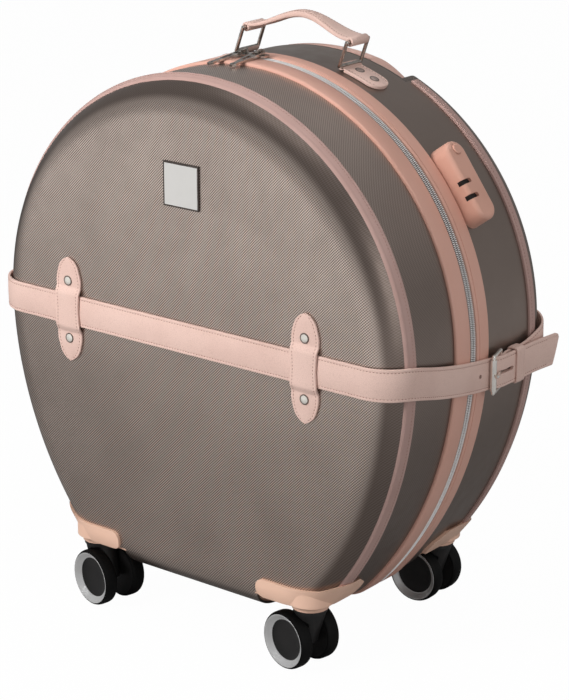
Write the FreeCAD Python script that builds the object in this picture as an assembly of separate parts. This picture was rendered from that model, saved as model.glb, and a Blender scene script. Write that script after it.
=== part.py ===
# Round hard-shell cabin suitcase on four twin-wheel casters.
# Frame: +Z up, floor at Z = 0, front face towards -Y, zip plane at Y = 0, origin under the case's middle.
import FreeCAD
import Part
import math
import os
from FreeCAD import Vector

# Driving dimensions, in millimetres
HALF_WIDTH = 240.0        # zip band, from the middle plane
FRONT_DEPTH = 118.0       # zip plane to front face
REAR_DEPTH = 124.0        # zip plane to back face
LOWER_RADIUS = 360.0      # side arcs below the widest level
BOTTOM_DROP = 258.0       # widest level down to the zip band's flat bottom
CORNER_RADIUS = 45.0      # bottom corners, at the zip band
FRONT_SHOULDER = 34.0     # moulded edge between front face and side wall
REAR_SHOULDER = 21.0      # the same at the back
BAND_PROUD = 3.0          # zip band above the shell wall
WALL = 2.5                # shell wall thickness
WHEEL_RADIUS = 28.0
CENTRE_HEIGHT = 301.5     # widest level above the floor
BELT_WIDTH = 30.0
BELT_THICK = 2.6

# Zip
RIM_Y = 5.0               # shell rim, from the zip plane
FRONT_BAND_Y = 27.0       # outer edge of the front band
REAR_BAND_Y = 25.0        # outer edge of the rear band
TOOTH_Y = 4.6             # half width of the closed chain
CHAIN_GAP = 0.15          # each half of the chain stops this far from the zip plane

# Casters
FRONT_SWIVEL = (130.5, 96.0)   # swivel axis, from the middle planes
REAR_SWIVEL = (134.0, 104.0)
TRAIL = 12.5
SOCKET_Z = 61.3           # lower rim of the swivel socket
WELL_TOP = 66.5           # ceiling of the wheel well
WELL_RADIUS = 52.0
WHEEL_IN = 9.6            # inner face of a wheel, from the fork's middle
WHEEL_OUT = 23.6
CASTER_TURN = {"fl": 191.5, "fr": 10.5, "rr": 0.0, "rl": 205.0}

# Belt and buckle
BELT_Z = CENTRE_HEIGHT - 0.5
BELT_GAP = 1.4            # belt's inner face outside the zip bands
FRONT_BEND = 37.2         # inner radius of the belt round a front shoulder
REAR_BEND = 21.2
BUCKLE_Z = BELT_Z - 21.5
ROLLER_X = 248.2
ROLLER_Y = 20.0
HINGE_BAR_X = 241.7
HINGE_BAR_Y = 41.0

# Carry handle
RING_X = 61.0
HANDLE_Y = 51.5
RING_WIDTH = 33.0
RING_LENGTH = 24.5
RING_LEAN = 20.0
WIRE_RADIUS = 1.75

# Trolley handle
TUBE_X = 48.0
TUBE_Y = 106.0
NOTCH_HALF_ANGLE = 24.5
NOTCH_FLOOR = 214.0
NOTCH_Y = 88.0

# Combination lock
LOCK_ANGLE = 36.0
LOCK_TOP = 256.0
DIAL_PLACES = (-7.0, 7.5, 22.0)
SLOT_PLACES = (0.3, 14.8)

# Details of the front face
PLATE_X = 141.5
PLATE_HALF = 51.5
RIVET_RISE = 28.5
LABEL_Z = CENTRE_HEIGHT + 142.5
LABEL_SIDE = 41.5
INLAY_SIDE = 38.5

FACE_Y = -FRONT_DEPTH
WALL_RADIUS = HALF_WIDTH - BAND_PROUD
FAR = 150.0               # cutting tools reach this far past the faces
MID = Vector(0, 0, CENTRE_HEIGHT)
ORIGIN = Vector(0, 0, 0)
X_AXIS = Vector(1, 0, 0)
Y_AXIS = Vector(0, 1, 0)
Z_AXIS = Vector(0, 0, 1)
os.makedirs("parts", exist_ok=True)


def save(shape, name):
    shape.removeSplitter().exportStep("parts/" + name + ".step")


def box(x0, x1, y0, y1, z0, z1):
    return Part.makeBox(x1 - x0, y1 - y0, z1 - z0, Vector(x0, y0, z0))


def cylinder(radius, start, end):
    axis = end - start
    return Part.makeCylinder(radius, axis.Length, start, axis)


def arc(a, b, c):
    return Part.Arc(a, b, c).toShape()


def line(a, b):
    return Part.LineSegment(a, b).toShape()


def loop(points):
    return Part.makePolygon(points + points[:1])


def polygon_prism(points, push):
    return Part.Face(loop(points)).extrude(push)


def mirror_x(shape):
    return shape.mirror(ORIGIN, X_AXIS)


def mirror_y(shape):
    return shape.mirror(ORIGIN, Y_AXIS)


def both_sides(shape):
    return shape.fuse(mirror_x(shape))


def polar(radius, degrees, y):
    a = math.radians(degrees)
    return Vector(radius * math.cos(a), y, CENTRE_HEIGHT + radius * math.sin(a))


# The case's outline, drawn at the zip band and offset by `d`: a half circle above the widest level,
# wide side arcs below it, round corners and a flat bottom.
def outline(d, y):
    side = LOWER_RADIUS - HALF_WIDTH
    corner_z = CENTRE_HEIGHT - BOTTOM_DROP + CORNER_RADIUS
    reach = LOWER_RADIUS - CORNER_RADIUS
    corner_x = math.sqrt(reach ** 2 - (corner_z - CENTRE_HEIGHT) ** 2) - side
    low = math.atan2(corner_z - CENTRE_HEIGHT, corner_x + side)

    def top(degrees):
        return polar(HALF_WIDTH + d, degrees, y)

    def flank(angle):
        r = LOWER_RADIUS + d
        return Vector(r * math.cos(angle) - side, y, CENTRE_HEIGHT + r * math.sin(angle))

    def corner(angle):
        r = CORNER_RADIUS + d
        return Vector(corner_x + r * math.cos(angle), y, corner_z + r * math.sin(angle))

    def left(p):
        return Vector(-p.x, p.y, p.z)

    down = -math.pi / 2.0
    half = (low + down) / 2.0
    edges = [
        arc(top(0), top(45), top(90)),
        arc(top(90), top(135), top(180)),
        arc(top(180), left(flank(low / 2.0)), left(corner(low))),
        arc(left(corner(low)), left(corner(half)), left(corner(down))),
        line(left(corner(down)), corner(down)),
        arc(corner(down), corner(half), corner(low)),
        arc(corner(low), flank(low / 2.0), top(0)),
    ]
    return Part.Wire(edges)


def prism(d, y0, y1):
    return Part.Face(outline(d, y0)).extrude(Vector(0, y1 - y0, 0))


def ring(d_in, d_out, y0, y1):
    return prism(d_out, y0, y1).cut(prism(d_in, y0, y1))


def tray(d, y_rim, y_face, shoulder):
    body = prism(d, y_rim, y_face)
    front = [e for e in body.Edges if e.BoundBox.YMax < y_face + 1e-6]
    return body.makeFillet(shoulder, front)


# Ring sector about the outline's centre, with its own end angles on the inner arc
def sector(r0, r1, half_in, half_out, y0, y1):
    edges = [
        arc(polar(r1, 90 - half_out, y0), polar(r1, 90, y0), polar(r1, 90 + half_out, y0)),
        line(polar(r1, 90 + half_out, y0), polar(r0, 90 + half_in, y0)),
        arc(polar(r0, 90 + half_in, y0), polar(r0, 90, y0), polar(r0, 90 - half_in, y0)),
        line(polar(r0, 90 - half_in, y0), polar(r1, 90 - half_out, y0)),
    ]
    return Part.Face(Part.Wire(edges)).extrude(Vector(0, y1 - y0, 0))


# Turns a piece made at the top of the outline to the given polar angle
def turn_to(shape, degrees):
    return shape.rotate(MID, Y_AXIS, 90.0 - degrees)


# Shells: two deep trays that meet at the zip. Each half is made facing the front; the rear is mirrored.
BOSS_RADIUS = 8.7
BOSS_TOP = 78.0
WELL_WALL = 2.0
WELL_LOW = 20.0
OUTSIDE_RADIUS = 262.0


def swivel_cylinder(radius, z0, z1, swivel):
    return cylinder(radius, Vector(swivel[0], -swivel[1], z0), Vector(swivel[0], -swivel[1], z1))


def wheel_well(swivel):
    return swivel_cylinder(WELL_RADIUS, WELL_LOW, WELL_TOP, swivel)


def shell_solids(depth, shoulder):
    outer = tray(-BAND_PROUD, -RIM_Y, -depth, shoulder)
    inner = tray(-BAND_PROUD - WALL, 0.0, -depth + WALL, shoulder - WALL)
    return outer, inner


def shell(outer, inner, swivel):
    seat_radius = WELL_RADIUS + WELL_WALL + 0.02
    pan_seat = swivel_cylinder(seat_radius, WELL_TOP - 0.05, WELL_TOP + WELL_WALL + 0.02, swivel)
    return outer.cut(inner).cut(both_sides(wheel_well(swivel).fuse(pan_seat)))


front_outer, front_inner = shell_solids(FRONT_DEPTH, FRONT_SHOULDER)
back_outer, back_inner = shell_solids(REAR_DEPTH, REAR_SHOULDER)
notch = sector(NOTCH_FLOOR, OUTSIDE_RADIUS, NOTCH_HALF_ANGLE, NOTCH_HALF_ANGLE, -NOTCH_Y, -FAR)
save(shell(front_outer, front_inner, FRONT_SWIVEL), "front_shell")
save(mirror_y(shell(back_outer, back_inner, REAR_SWIVEL).cut(notch)), "rear_shell")

# Linings: thin fabric trays inside the shells; the rear one covers the trolley tubes
LINING = 1.0
LINING_D = -BAND_PROUD - WALL - 1.5
FRONT_PANEL_Y = FRONT_DEPTH - WALL - 0.9
FRONT_PANEL_EDGE = 30.0
REAR_PANEL_Y = 95.0
REAR_PANEL_EDGE = 22.0
LINING_ROOM = 0.5


def lining(y_face, shoulder, swivel):
    body = tray(LINING_D, -RIM_Y, -y_face, shoulder)
    body = body.cut(tray(LINING_D - LINING, 0.0, -y_face + LINING, shoulder - LINING))
    pan_radius = WELL_RADIUS + WELL_WALL + LINING_ROOM
    pan_room = swivel_cylinder(pan_radius, WELL_LOW, WELL_TOP + WELL_WALL + LINING_ROOM, swivel)
    boss_room = swivel_cylinder(BOSS_RADIUS + LINING_ROOM, WELL_LOW, BOSS_TOP + 1.0, swivel)
    return body.cut(both_sides(pan_room.fuse(boss_room)))


room_half = NOTCH_HALF_ANGLE + LINING_ROOM
notch_room = sector(NOTCH_FLOOR - 1.0, OUTSIDE_RADIUS, room_half, room_half, 1.0 - NOTCH_Y, -FAR)
save(lining(FRONT_PANEL_Y, FRONT_PANEL_EDGE, FRONT_SWIVEL), "front_lining")
save(mirror_y(lining(REAR_PANEL_Y, REAR_PANEL_EDGE, REAR_SWIVEL).cut(notch_room)), "rear_lining")

# Zip bands: raised mouldings round both rims, and the tape that carries each half of the zip chain
BAND_ROUND = 2.2
TAPE_D = (-6.8, -5.6)
TAPE_Y = 16.0
TOOTH_TOP_D = -0.8


def band(y_outer):
    body = prism(0.0, -RIM_Y, -y_outer)
    rim = [e for e in body.Edges if e.BoundBox.YMax < -y_outer + 1e-6]
    return body.makeFillet(BAND_ROUND, rim).cut(prism(-BAND_PROUD, 0.0, -y_outer - 1.0))


def zip_tape():
    tape = ring(TAPE_D[0], TAPE_D[1], -TAPE_Y, -CHAIN_GAP)
    return tape.fuse(ring(TAPE_D[1], TOOTH_TOP_D, -TOOTH_Y, -CHAIN_GAP))


save(band(FRONT_BAND_Y), "front_zip_band")
save(mirror_y(band(REAR_BAND_Y)), "rear_zip_band")
save(zip_tape(), "front_zip_tape")
save(mirror_y(zip_tape()), "rear_zip_tape")

# Hinge tape: the fabric spine inside the left wall, which joins the two halves
SPINE_D = (-9.4, -8.4)
SPINE_Y = 26.0
SPINE_HALF = 110.0
spine_room = box(-300, 0, -FAR, FAR, CENTRE_HEIGHT - SPINE_HALF, CENTRE_HEIGHT + SPINE_HALF)
save(ring(SPINE_D[0], SPINE_D[1], -SPINE_Y, SPINE_Y).common(spine_room), "hinge_tape")

# Caster housings: corner caps with two rounded arms, a pan that lines the wheel well and a swivel socket
ARM_END_X = 85.0
FRONT_ARM_END = 56.0
REAR_ARM_END = 48.0
ARM_TOP = 85.5
ARM_BEND_X = 151.0
ARM_OUTER_X = 220.0
ARM_OUTER_TOP = 110.0
ARM_SIDE_TOP = 95.0
ARM_ROUND = 8.2
SOCKET_LOW_RADIUS = 17.5
SOCKET_HIGH_RADIUS = 22.5
SOCKET_FLARE = 6.0
STEM_RADIUS = 4.0
STEM_FIT = 0.05


def rounded_prism(points, push, rounded):
    body = polygon_prism(points, push)
    edges = []
    for corner_at in rounded:
        for e in body.Edges:
            if all(v.Point.sub(corner_at).cross(push).Length < 0.01 for v in e.Vertexes):
                edges.append(e)
    return body.makeFillet(ARM_ROUND, edges)


def arm_front_view():
    corners = ((ARM_END_X, WELL_TOP), (ARM_OUTER_X, WELL_TOP), (ARM_OUTER_X, ARM_OUTER_TOP),
               (ARM_BEND_X, ARM_TOP), (ARM_END_X, ARM_TOP))
    points = [Vector(x, -FAR, z) for x, z in corners]
    return rounded_prism(points, Vector(0, FAR, 0), (points[0], points[4]))


# Side view: the top edge climbs away from the face, then the arm's end slants down in two steps
def arm_side_view(end_y):
    corners = ((end_y, WELL_TOP), (FAR, WELL_TOP), (FAR, ARM_TOP - 2.0), (end_y + 24.0, ARM_SIDE_TOP),
               (end_y + 5.0, ARM_TOP - 2.5))
    points = [Vector(0, -y, z) for y, z in corners]
    return rounded_prism(points, Vector(ARM_OUTER_X, 0, 0), (points[0], points[3], points[4]))


def socket(swivel):
    def p(r, z):
        return Vector(swivel[0] + r, -swivel[1], z)
    flare_top = SOCKET_Z + SOCKET_FLARE
    flare_width = SOCKET_HIGH_RADIUS - SOCKET_LOW_RADIUS
    flare_mid = p(SOCKET_LOW_RADIUS + 0.25 * flare_width, SOCKET_Z + 0.68 * SOCKET_FLARE)
    edges = [
        line(p(0, SOCKET_Z), p(SOCKET_LOW_RADIUS, SOCKET_Z)),
        arc(p(SOCKET_LOW_RADIUS, SOCKET_Z), flare_mid, p(SOCKET_HIGH_RADIUS, flare_top)),
        line(p(SOCKET_HIGH_RADIUS, flare_top), p(SOCKET_HIGH_RADIUS, ARM_TOP - 2.0)),
        line(p(SOCKET_HIGH_RADIUS, ARM_TOP - 2.0), p(0, ARM_TOP - 2.0)),
        line(p(0, ARM_TOP - 2.0), p(0, SOCKET_Z)),
    ]
    return Part.Face(Part.Wire(edges)).revolve(p(0, 0), Z_AXIS, 360)


def caster_housing(depth, shoulder, swivel, arm_end, outer, inner):
    skin = tray(0.0, -RIM_Y - FRONT_BAND_Y, -depth - BAND_PROUD, shoulder + BAND_PROUD)
    cap = skin.common(arm_front_view()).common(arm_side_view(arm_end))
    covered = outer.cut(wheel_well(swivel))
    outside = cap.fuse(socket(swivel)).cut(covered)
    outside = max(outside.Solids, key=lambda s: s.Volume)
    pan_radius = WELL_RADIUS + WELL_WALL
    pan_top = WELL_TOP + WELL_WALL
    ceiling = swivel_cylinder(pan_radius, WELL_TOP, pan_top, swivel).common(outer)
    pan_wall = swivel_cylinder(pan_radius, WELL_LOW, pan_top, swivel)
    pan_wall = pan_wall.cut(wheel_well(swivel)).common(inner)
    boss = swivel_cylinder(BOSS_RADIUS, SOCKET_Z, BOSS_TOP, swivel)
    bore = swivel_cylinder(STEM_RADIUS + STEM_FIT, SOCKET_Z - 1.0, BOSS_TOP - 2.0, swivel)
    return outside.multiFuse([ceiling, pan_wall, boss]).cut(bore)


# Fork and twin wheels about the swivel axis at the origin, trailing along -X
CROWN_RADIUS = 16.0
CROWN_LOW = WHEEL_RADIUS * 2.0 + 1.5
CROWN_TOP = SOCKET_Z - 0.6
NECK_LOW_RADIUS = 12.5
NECK_LOW = WHEEL_RADIUS - 4.0
NECK_SHIFT = 9.0          # neck's foot, from the swivel axis
AXLE_RADIUS = 2.5
HUB_RADIUS = 3.0
HUB_SINK = 7.0            # hub's face behind the wheel's outer face
DISH_SINK = 4.3           # inner edge of the silver ring behind the outer face
RIM_OUTER = 25.6
RIM_INNER = 20.6


def circle_wire(radius, centre):
    return Part.Wire(Part.makeCircle(radius, centre, Z_AXIS))


def caster_fork():
    crown = cylinder(CROWN_RADIUS, Vector(0, 0, CROWN_LOW), Vector(0, 0, CROWN_TOP))
    neck_top = circle_wire(CROWN_RADIUS - 0.6, Vector(0, 0, CROWN_LOW + 1.0))
    neck_low = circle_wire(NECK_LOW_RADIUS, Vector(-NECK_SHIFT, 0, NECK_LOW))
    neck = Part.makeLoft([neck_top, neck_low], True)
    stem = cylinder(STEM_RADIUS, Vector(0, 0, CROWN_LOW + 1.0), Vector(0, 0, BOSS_TOP - 3.0))
    body = crown.fuse(neck)
    for sign in (-1, 1):
        start = Vector(-TRAIL, sign * (WHEEL_IN - 0.6), WHEEL_RADIUS)
        body = body.cut(cylinder(WHEEL_RADIUS + 0.9, start, start + Vector(0, sign * 20, 0)))
    room = AXLE_RADIUS + STEM_FIT
    axle_room = cylinder(room, Vector(-TRAIL, -FAR, WHEEL_RADIUS), Vector(-TRAIL, FAR, WHEEL_RADIUS))
    return body.fuse(stem).cut(axle_room)


# One wheel is a turned ring: rounded tread, raised rim and a dished face
def caster_wheels():
    tread = WHEEL_RADIUS
    profile = [(HUB_RADIUS, WHEEL_IN), (tread - 2.0, WHEEL_IN), (tread - 0.5, WHEEL_IN + 2.0)]
    profile += [(tread, WHEEL_IN + 5.0), (tread, WHEEL_OUT - 4.0), (tread - 0.9, WHEEL_OUT - 1.5)]
    profile += [(RIM_OUTER + 0.2, WHEEL_OUT), (RIM_OUTER - 0.4, WHEEL_OUT)]
    profile += [(RIM_INNER, WHEEL_OUT - DISH_SINK), (HUB_RADIUS, WHEEL_OUT - HUB_SINK)]
    wheel = Part.Face(loop([Vector(r, y, 0) for r, y in profile])).revolve(ORIGIN, Y_AXIS, 360)
    wheel.translate(Vector(-TRAIL, 0, WHEEL_RADIUS))
    half = WHEEL_OUT - HUB_SINK - 0.5

    def on_axle(y):
        return Vector(-TRAIL, y, WHEEL_RADIUS)
    axle = cylinder(AXLE_RADIUS, on_axle(-half), on_axle(half))
    collar = cylinder(HUB_RADIUS, on_axle(WHEEL_IN), on_axle(half))
    axle = axle.fuse(collar).fuse(mirror_y(collar))
    return Part.makeCompound([wheel, mirror_y(wheel), axle])


housing_front = caster_housing(FRONT_DEPTH, FRONT_SHOULDER, FRONT_SWIVEL, FRONT_ARM_END,
                               front_outer, front_inner)
housing_back = caster_housing(REAR_DEPTH, REAR_SHOULDER, REAR_SWIVEL, REAR_ARM_END,
                              back_outer, back_inner)
for corner in ("fl", "fr", "rl", "rr"):
    left = corner[1] == "l"
    rear = corner[0] == "r"
    housing = mirror_y(housing_back) if rear else housing_front
    save(mirror_x(housing) if left else housing, "caster_housing_" + corner)
    swivel = REAR_SWIVEL if rear else FRONT_SWIVEL
    place = Vector(-swivel[0] if left else swivel[0], swivel[1] if rear else -swivel[1], 0)
    for name, piece in (("caster_fork_", caster_fork()), ("caster_wheels_", caster_wheels())):
        piece.rotate(ORIGIN, Z_AXIS, -CASTER_TURN[corner])
        piece.translate(place)
        save(piece, name + corner)

# Piping: a stitched strip with a rolled front edge, laid round each half next to the shoulder
FRONT_PIPING = ((-98.2, -6.3), (-97.2, -4.3), (-95.5, -3.1), (-88.4, -0.6), (-87.6, -1.2))
REAR_PIPING = ((-104.4, -3.4), (-103.6, -1.6), (-102.0, -0.9), (-94.5, -0.6), (-93.7, -1.2))


def piping(stations, outer, housing, swivel):
    strip = Part.makeLoft([outline(d, y) for y, d in stations], True, True).cut(outer)
    strip = strip.cut(both_sides(housing)).cut(both_sides(wheel_well(swivel)))
    return max(strip.Solids, key=lambda s: s.Volume)


save(piping(FRONT_PIPING, front_outer, housing_front, FRONT_SWIVEL), "front_piping")
gap_half = NOTCH_HALF_ANGLE + 0.6
piping_gap = sector(NOTCH_FLOOR, OUTSIDE_RADIUS, gap_half, gap_half, 2.0 - NOTCH_Y, -FAR)
rear_piping = piping(REAR_PIPING, back_outer, housing_back, REAR_SWIVEL).cut(piping_gap)
for strip in mirror_y(rear_piping).Solids:
    save(strip,"rear_piping_left" if strip.CenterOfMass.x < 0 else "rear_piping_right")

# Belt: the strap round the case. The front half rides on the lid, the rear half holds the buckle.
BELT_X = HALF_WIDTH + BELT_GAP
BELT_OFF_FACE = 0.3
BEND_STEPS = 8
FRONT_BEND_Y = -FRONT_DEPTH - BELT_OFF_FACE + FRONT_BEND
REAR_BEND_Y = REAR_DEPTH + BELT_OFF_FACE - REAR_BEND
DROOP_AT_WALL = 3.0       # drop where the right front bend meets the side wall
DROOP_RUN = 22.5          # length of belt over which it starts, in the bend
DROOP_EASE = 0.000843


# Level of the belt's middle on the right side wall, where it droops towards the buckle
def droop(y):
    run = y - FRONT_BEND_Y
    drop = DROOP_AT_WALL + 2.0 * DROOP_AT_WALL / DROOP_RUN * run - DROOP_EASE * run ** 2
    return max(BELT_Z - drop, BUCKLE_Z)


def bend_point(sign, bend, depth, radius, degrees):
    a = math.radians(degrees)
    x = BELT_X - bend + radius * math.cos(a)
    return Vector(sign * x, bend - depth - BELT_OFF_FACE - radius * math.sin(a), 0)


# Left wall, left bend and face, at the belt's upper level, as far as `x_end` on the face
def strap_half(depth, bend, x_end):
    face_in = -depth - BELT_OFF_FACE
    face_out = face_in - BELT_THICK
    inner = [bend_point(-1, bend, depth, bend, a) for a in (0, 45, 90)]
    outer = [bend_point(-1, bend, depth, bend + BELT_THICK, a) for a in (0, 45, 90)]
    start_in = Vector(-BELT_X, -CHAIN_GAP, 0)
    start_out = Vector(-BELT_X - BELT_THICK, -CHAIN_GAP, 0)
    edges = [line(start_in, inner[0]), arc(*inner), line(inner[2], Vector(x_end, face_in, 0))]
    edges += [line(Vector(x_end, face_in, 0), Vector(x_end, face_out, 0))]
    edges += [line(Vector(x_end, face_out, 0), outer[2]), arc(outer[2], outer[1], outer[0])]
    edges += [line(outer[0], start_out), line(start_out, start_in)]
    strap = Part.Face(Part.Wire(edges)).extrude(Vector(0, 0, BELT_WIDTH))
    strap.translate(Vector(0, 0, BELT_Z - BELT_WIDTH / 2.0))
    return strap


# Cross-section of the belt between two plan points, its middle at the given level
def belt_section(inner, outer, level):
    low = Vector(0, 0, level - BELT_WIDTH / 2.0)
    high = Vector(0, 0, level + BELT_WIDTH / 2.0)
    return loop([inner + low, outer + low, outer + high, inner + high])


def bend_section(depth, bend, degrees, level):
    inner = bend_point(1, bend, depth, bend, degrees)
    return belt_section(inner, bend_point(1, bend, depth, bend + BELT_THICK, degrees), level)


def side_section(y, lift, level):
    inner = Vector(BELT_X + lift, y, 0)
    return belt_section(inner, inner + Vector(BELT_THICK, 0, 0), level)


SIDE_STATIONS = (16.0, 32.0, 48.0, 64.0)
bend_length = math.radians(90.0) * FRONT_BEND
sections = []
for step in range(BEND_STEPS + 1):
    share = step / BEND_STEPS
    into = max(0.0, bend_length * (share - 1.0) + DROOP_RUN)
    level = BELT_Z - DROOP_AT_WALL * (into / DROOP_RUN) ** 2
    sections.append(bend_section(FRONT_DEPTH, FRONT_BEND, 90.0 * (1.0 - share), level))
for y in [FRONT_BEND_Y + run for run in SIDE_STATIONS] + [-CHAIN_GAP]:
    sections.append(side_section(y, 0.0, droop(y)))
front_belt = strap_half(FRONT_DEPTH, FRONT_BEND, BELT_X - FRONT_BEND)
save(front_belt.fuse(Part.makeLoft(sections, True, True)), "front_belt")

# Tail: through the buckle, over the hinge bar and the keeper, out past the rear edge, cut at a slant
TAIL = ((CHAIN_GAP, 0.0), (9.0, 0.0), (17.0, 0.0), (37.0, 5.2), (86.0, 5.2), (124.5, 8.0))
TAIL_LIFT = 5.2
PRONG_SLOT = (28.5, 39.5)
PRONG_SLOT_HALF = 2.4
PUNCHED_Y = 4.8
PUNCHED_RADIUS = 2.0
TIP_SLANT = 8.0
belt_reach = (BELT_X - 10.0, BELT_X + 30.0)
tail = Part.makeLoft([side_section(y, lift, droop(y)) for y, lift in TAIL], True, True)
tip_y = TAIL[-1][0]
tip_low = BUCKLE_Z - BELT_WIDTH / 2.0
below = tip_low - 1.0
tip_corners = ((tip_y, tip_low + BELT_WIDTH), (tip_y + 1.0, below), (tip_y - TIP_SLANT, below))
through = Vector(belt_reach[1] - belt_reach[0], 0, 0)
tail = tail.cut(polygon_prism([Vector(belt_reach[0], y, z) for y, z in tip_corners], through))
tail = tail.cut(box(*belt_reach, *PRONG_SLOT, BUCKLE_Z - PRONG_SLOT_HALF, BUCKLE_Z + PRONG_SLOT_HALF))
punched = Vector(belt_reach[0], PUNCHED_Y, droop(PUNCHED_Y))
tail = tail.cut(cylinder(PUNCHED_RADIUS, punched, punched + through))
save(tail, "belt_tail")

# Rear belt: left wall and back, then down round the right shoulder to the buckle's level, where it loops
# round the buckle's hinge bar. Its right part is made facing the front and mirrored with the rest.
CHAPE_END = 68.0
RISE_ON_BACK = 20.0
CHAPE_RADIUS = 4.3
CHAPE_BORE = 2.1
EYE_ROOM = 2.6            # half width of the gap for the prong's eye
side_run = REAR_BEND_Y - CHAPE_END
bend_run = math.radians(90.0) * REAR_BEND
rise_run = side_run + bend_run + RISE_ON_BACK
back_x = BELT_X - REAR_BEND


def rise(run):
    share = min(run / rise_run, 1.0)
    return BUCKLE_Z + (BELT_Z - BUCKLE_Z) * share * share * (3.0 - 2.0 * share)


sections = []
for run in [side_run * quarter / 4.0 for quarter in range(4)]:
    sections.append(side_section(-CHAPE_END - run, 0.0, rise(run)))
for step in range(BEND_STEPS + 1):
    share = step / BEND_STEPS
    sections.append(bend_section(REAR_DEPTH, REAR_BEND, 90.0 * share, rise(side_run + bend_run * share)))
for run in (0.5 * RISE_ON_BACK, RISE_ON_BACK):
    on_back = Vector(back_x - run, -REAR_DEPTH - BELT_OFF_FACE, 0)
    level = rise(side_run + bend_run + run)
    sections.append(belt_section(on_back, on_back - Vector(0, BELT_THICK, 0), level))
rear_belt = strap_half(REAR_DEPTH, REAR_BEND, back_x - RISE_ON_BACK)
rear_belt = mirror_y(rear_belt.fuse(Part.makeLoft(sections, True, True)))
chape = box(BELT_X, BELT_X + BELT_THICK, HINGE_BAR_Y, CHAPE_END, tip_low, tip_low + BELT_WIDTH)
bar_low = Vector(HINGE_BAR_X, HINGE_BAR_Y, tip_low)
bar_high = bar_low + Vector(0, 0, BELT_WIDTH)
chape = chape.fuse(cylinder(CHAPE_RADIUS, bar_low, bar_high)).cut(cylinder(CHAPE_BORE, bar_low, bar_high))
eye_y = (HINGE_BAR_Y - 6.0, HINGE_BAR_Y + 6.0)
chape = chape.cut(box(*belt_reach, *eye_y, BUCKLE_Z - EYE_ROOM, BUCKLE_Z + EYE_ROOM))
save(rear_belt.fuse(chape), "rear_belt")

# Buckle: wire frame on the chape's loop, roller on the far bar, prong through the belt
FRAME_HALF = 17.3
BAR_RADIUS = 1.8
ROLLER_HALF = 14.8
ROLLER_RADIUS = 3.0
PRONG_RADIUS = 1.4
EYE_RADIUS = 3.4
EYE_HALF = 2.0
BAR_FIT = 0.1


def buckle_point(x, y, z):
    return Vector(x, y, BUCKLE_Z + z)


frame_bars = []
for x, y in ((ROLLER_X, ROLLER_Y), (HINGE_BAR_X, HINGE_BAR_Y)):
    frame_bars.append(cylinder(BAR_RADIUS, buckle_point(x, y, -FRAME_HALF), buckle_point(x, y, FRAME_HALF)))
for z in (-FRAME_HALF, FRAME_HALF):
    ends = (buckle_point(ROLLER_X, ROLLER_Y, z), buckle_point(HINGE_BAR_X, HINGE_BAR_Y, z))
    frame_bars.append(cylinder(BAR_RADIUS, ends[0], ends[1]))
    frame_bars += [Part.makeSphere(BAR_RADIUS, p) for p in ends]
save(frame_bars[0].multiFuse(frame_bars[1:]), "buckle_frame")

roller_low = buckle_point(ROLLER_X, ROLLER_Y, -ROLLER_HALF)
roller_high = buckle_point(ROLLER_X, ROLLER_Y, ROLLER_HALF)
roller = cylinder(ROLLER_RADIUS, roller_low, roller_high)
save(roller.cut(cylinder(BAR_RADIUS + BAR_FIT, roller_low, roller_high)), "buckle_roller")

eye_low = buckle_point(HINGE_BAR_X, HINGE_BAR_Y, -EYE_HALF)
eye_high = buckle_point(HINGE_BAR_X, HINGE_BAR_Y, EYE_HALF)
prong_start = buckle_point(HINGE_BAR_X + 2.0, HINGE_BAR_Y - 1.5, 0)
prong_bend = buckle_point(ROLLER_X + ROLLER_RADIUS + PRONG_RADIUS + 0.7, ROLLER_Y, 0)
prong_end = prong_bend + Vector(-0.3, -3.0, 0)
prong = cylinder(EYE_RADIUS, eye_low, eye_high).fuse(cylinder(PRONG_RADIUS, prong_start, prong_bend))
prong = prong.fuse(Part.makeSphere(PRONG_RADIUS, prong_bend))
prong = prong.fuse(cylinder(PRONG_RADIUS, prong_bend, prong_end))
save(prong.cut(cylinder(BAR_RADIUS + BAR_FIT, eye_low, eye_high)), "buckle_prong")

# Keeper: a leather loop round the tail and the chape
KEEPER_Y = (54.8, 67.8)
KEEPER_ROOM = 0.4
KEEPER_THICK = 1.8
keeper_x = (BELT_X - KEEPER_ROOM, BELT_X + TAIL_LIFT + BELT_THICK + KEEPER_ROOM)
keeper_half = BELT_WIDTH / 2.0 + KEEPER_ROOM
outer_half = keeper_half + KEEPER_THICK
keeper = box(keeper_x[0] - KEEPER_THICK, keeper_x[1] + KEEPER_THICK, KEEPER_Y[0], KEEPER_Y[1],
             BUCKLE_Z - outer_half, BUCKLE_Z + outer_half)
keeper = keeper.makeFillet(1.6, [e for e in keeper.Edges if e.BoundBox.YLength > 10])
keeper = keeper.cut(box(keeper_x[0], keeper_x[1], KEEPER_Y[0], KEEPER_Y[1],
                        BUCKLE_Z - keeper_half, BUCKLE_Z + keeper_half))
save(keeper, "belt_keeper")

# Loop plates: pointed leather plates riveted over the belt on the front face
PLATE_THICK = 2.2
PLATE_HIGH_Y = FACE_Y - BELT_OFF_FACE - BELT_THICK - 0.4
PLATE_LOW_Y = FACE_Y - 0.1
PLATE_WIDE = 15.5         # half width at the rivets
PLATE_WAIST = 14.0        # half width at the belt
PLATE_STEP = (16.0, 22.0)
PLATE_RIVET_RADIUS = 4.9
PLATE_RIVET_HEIGHT = 1.4


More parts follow.
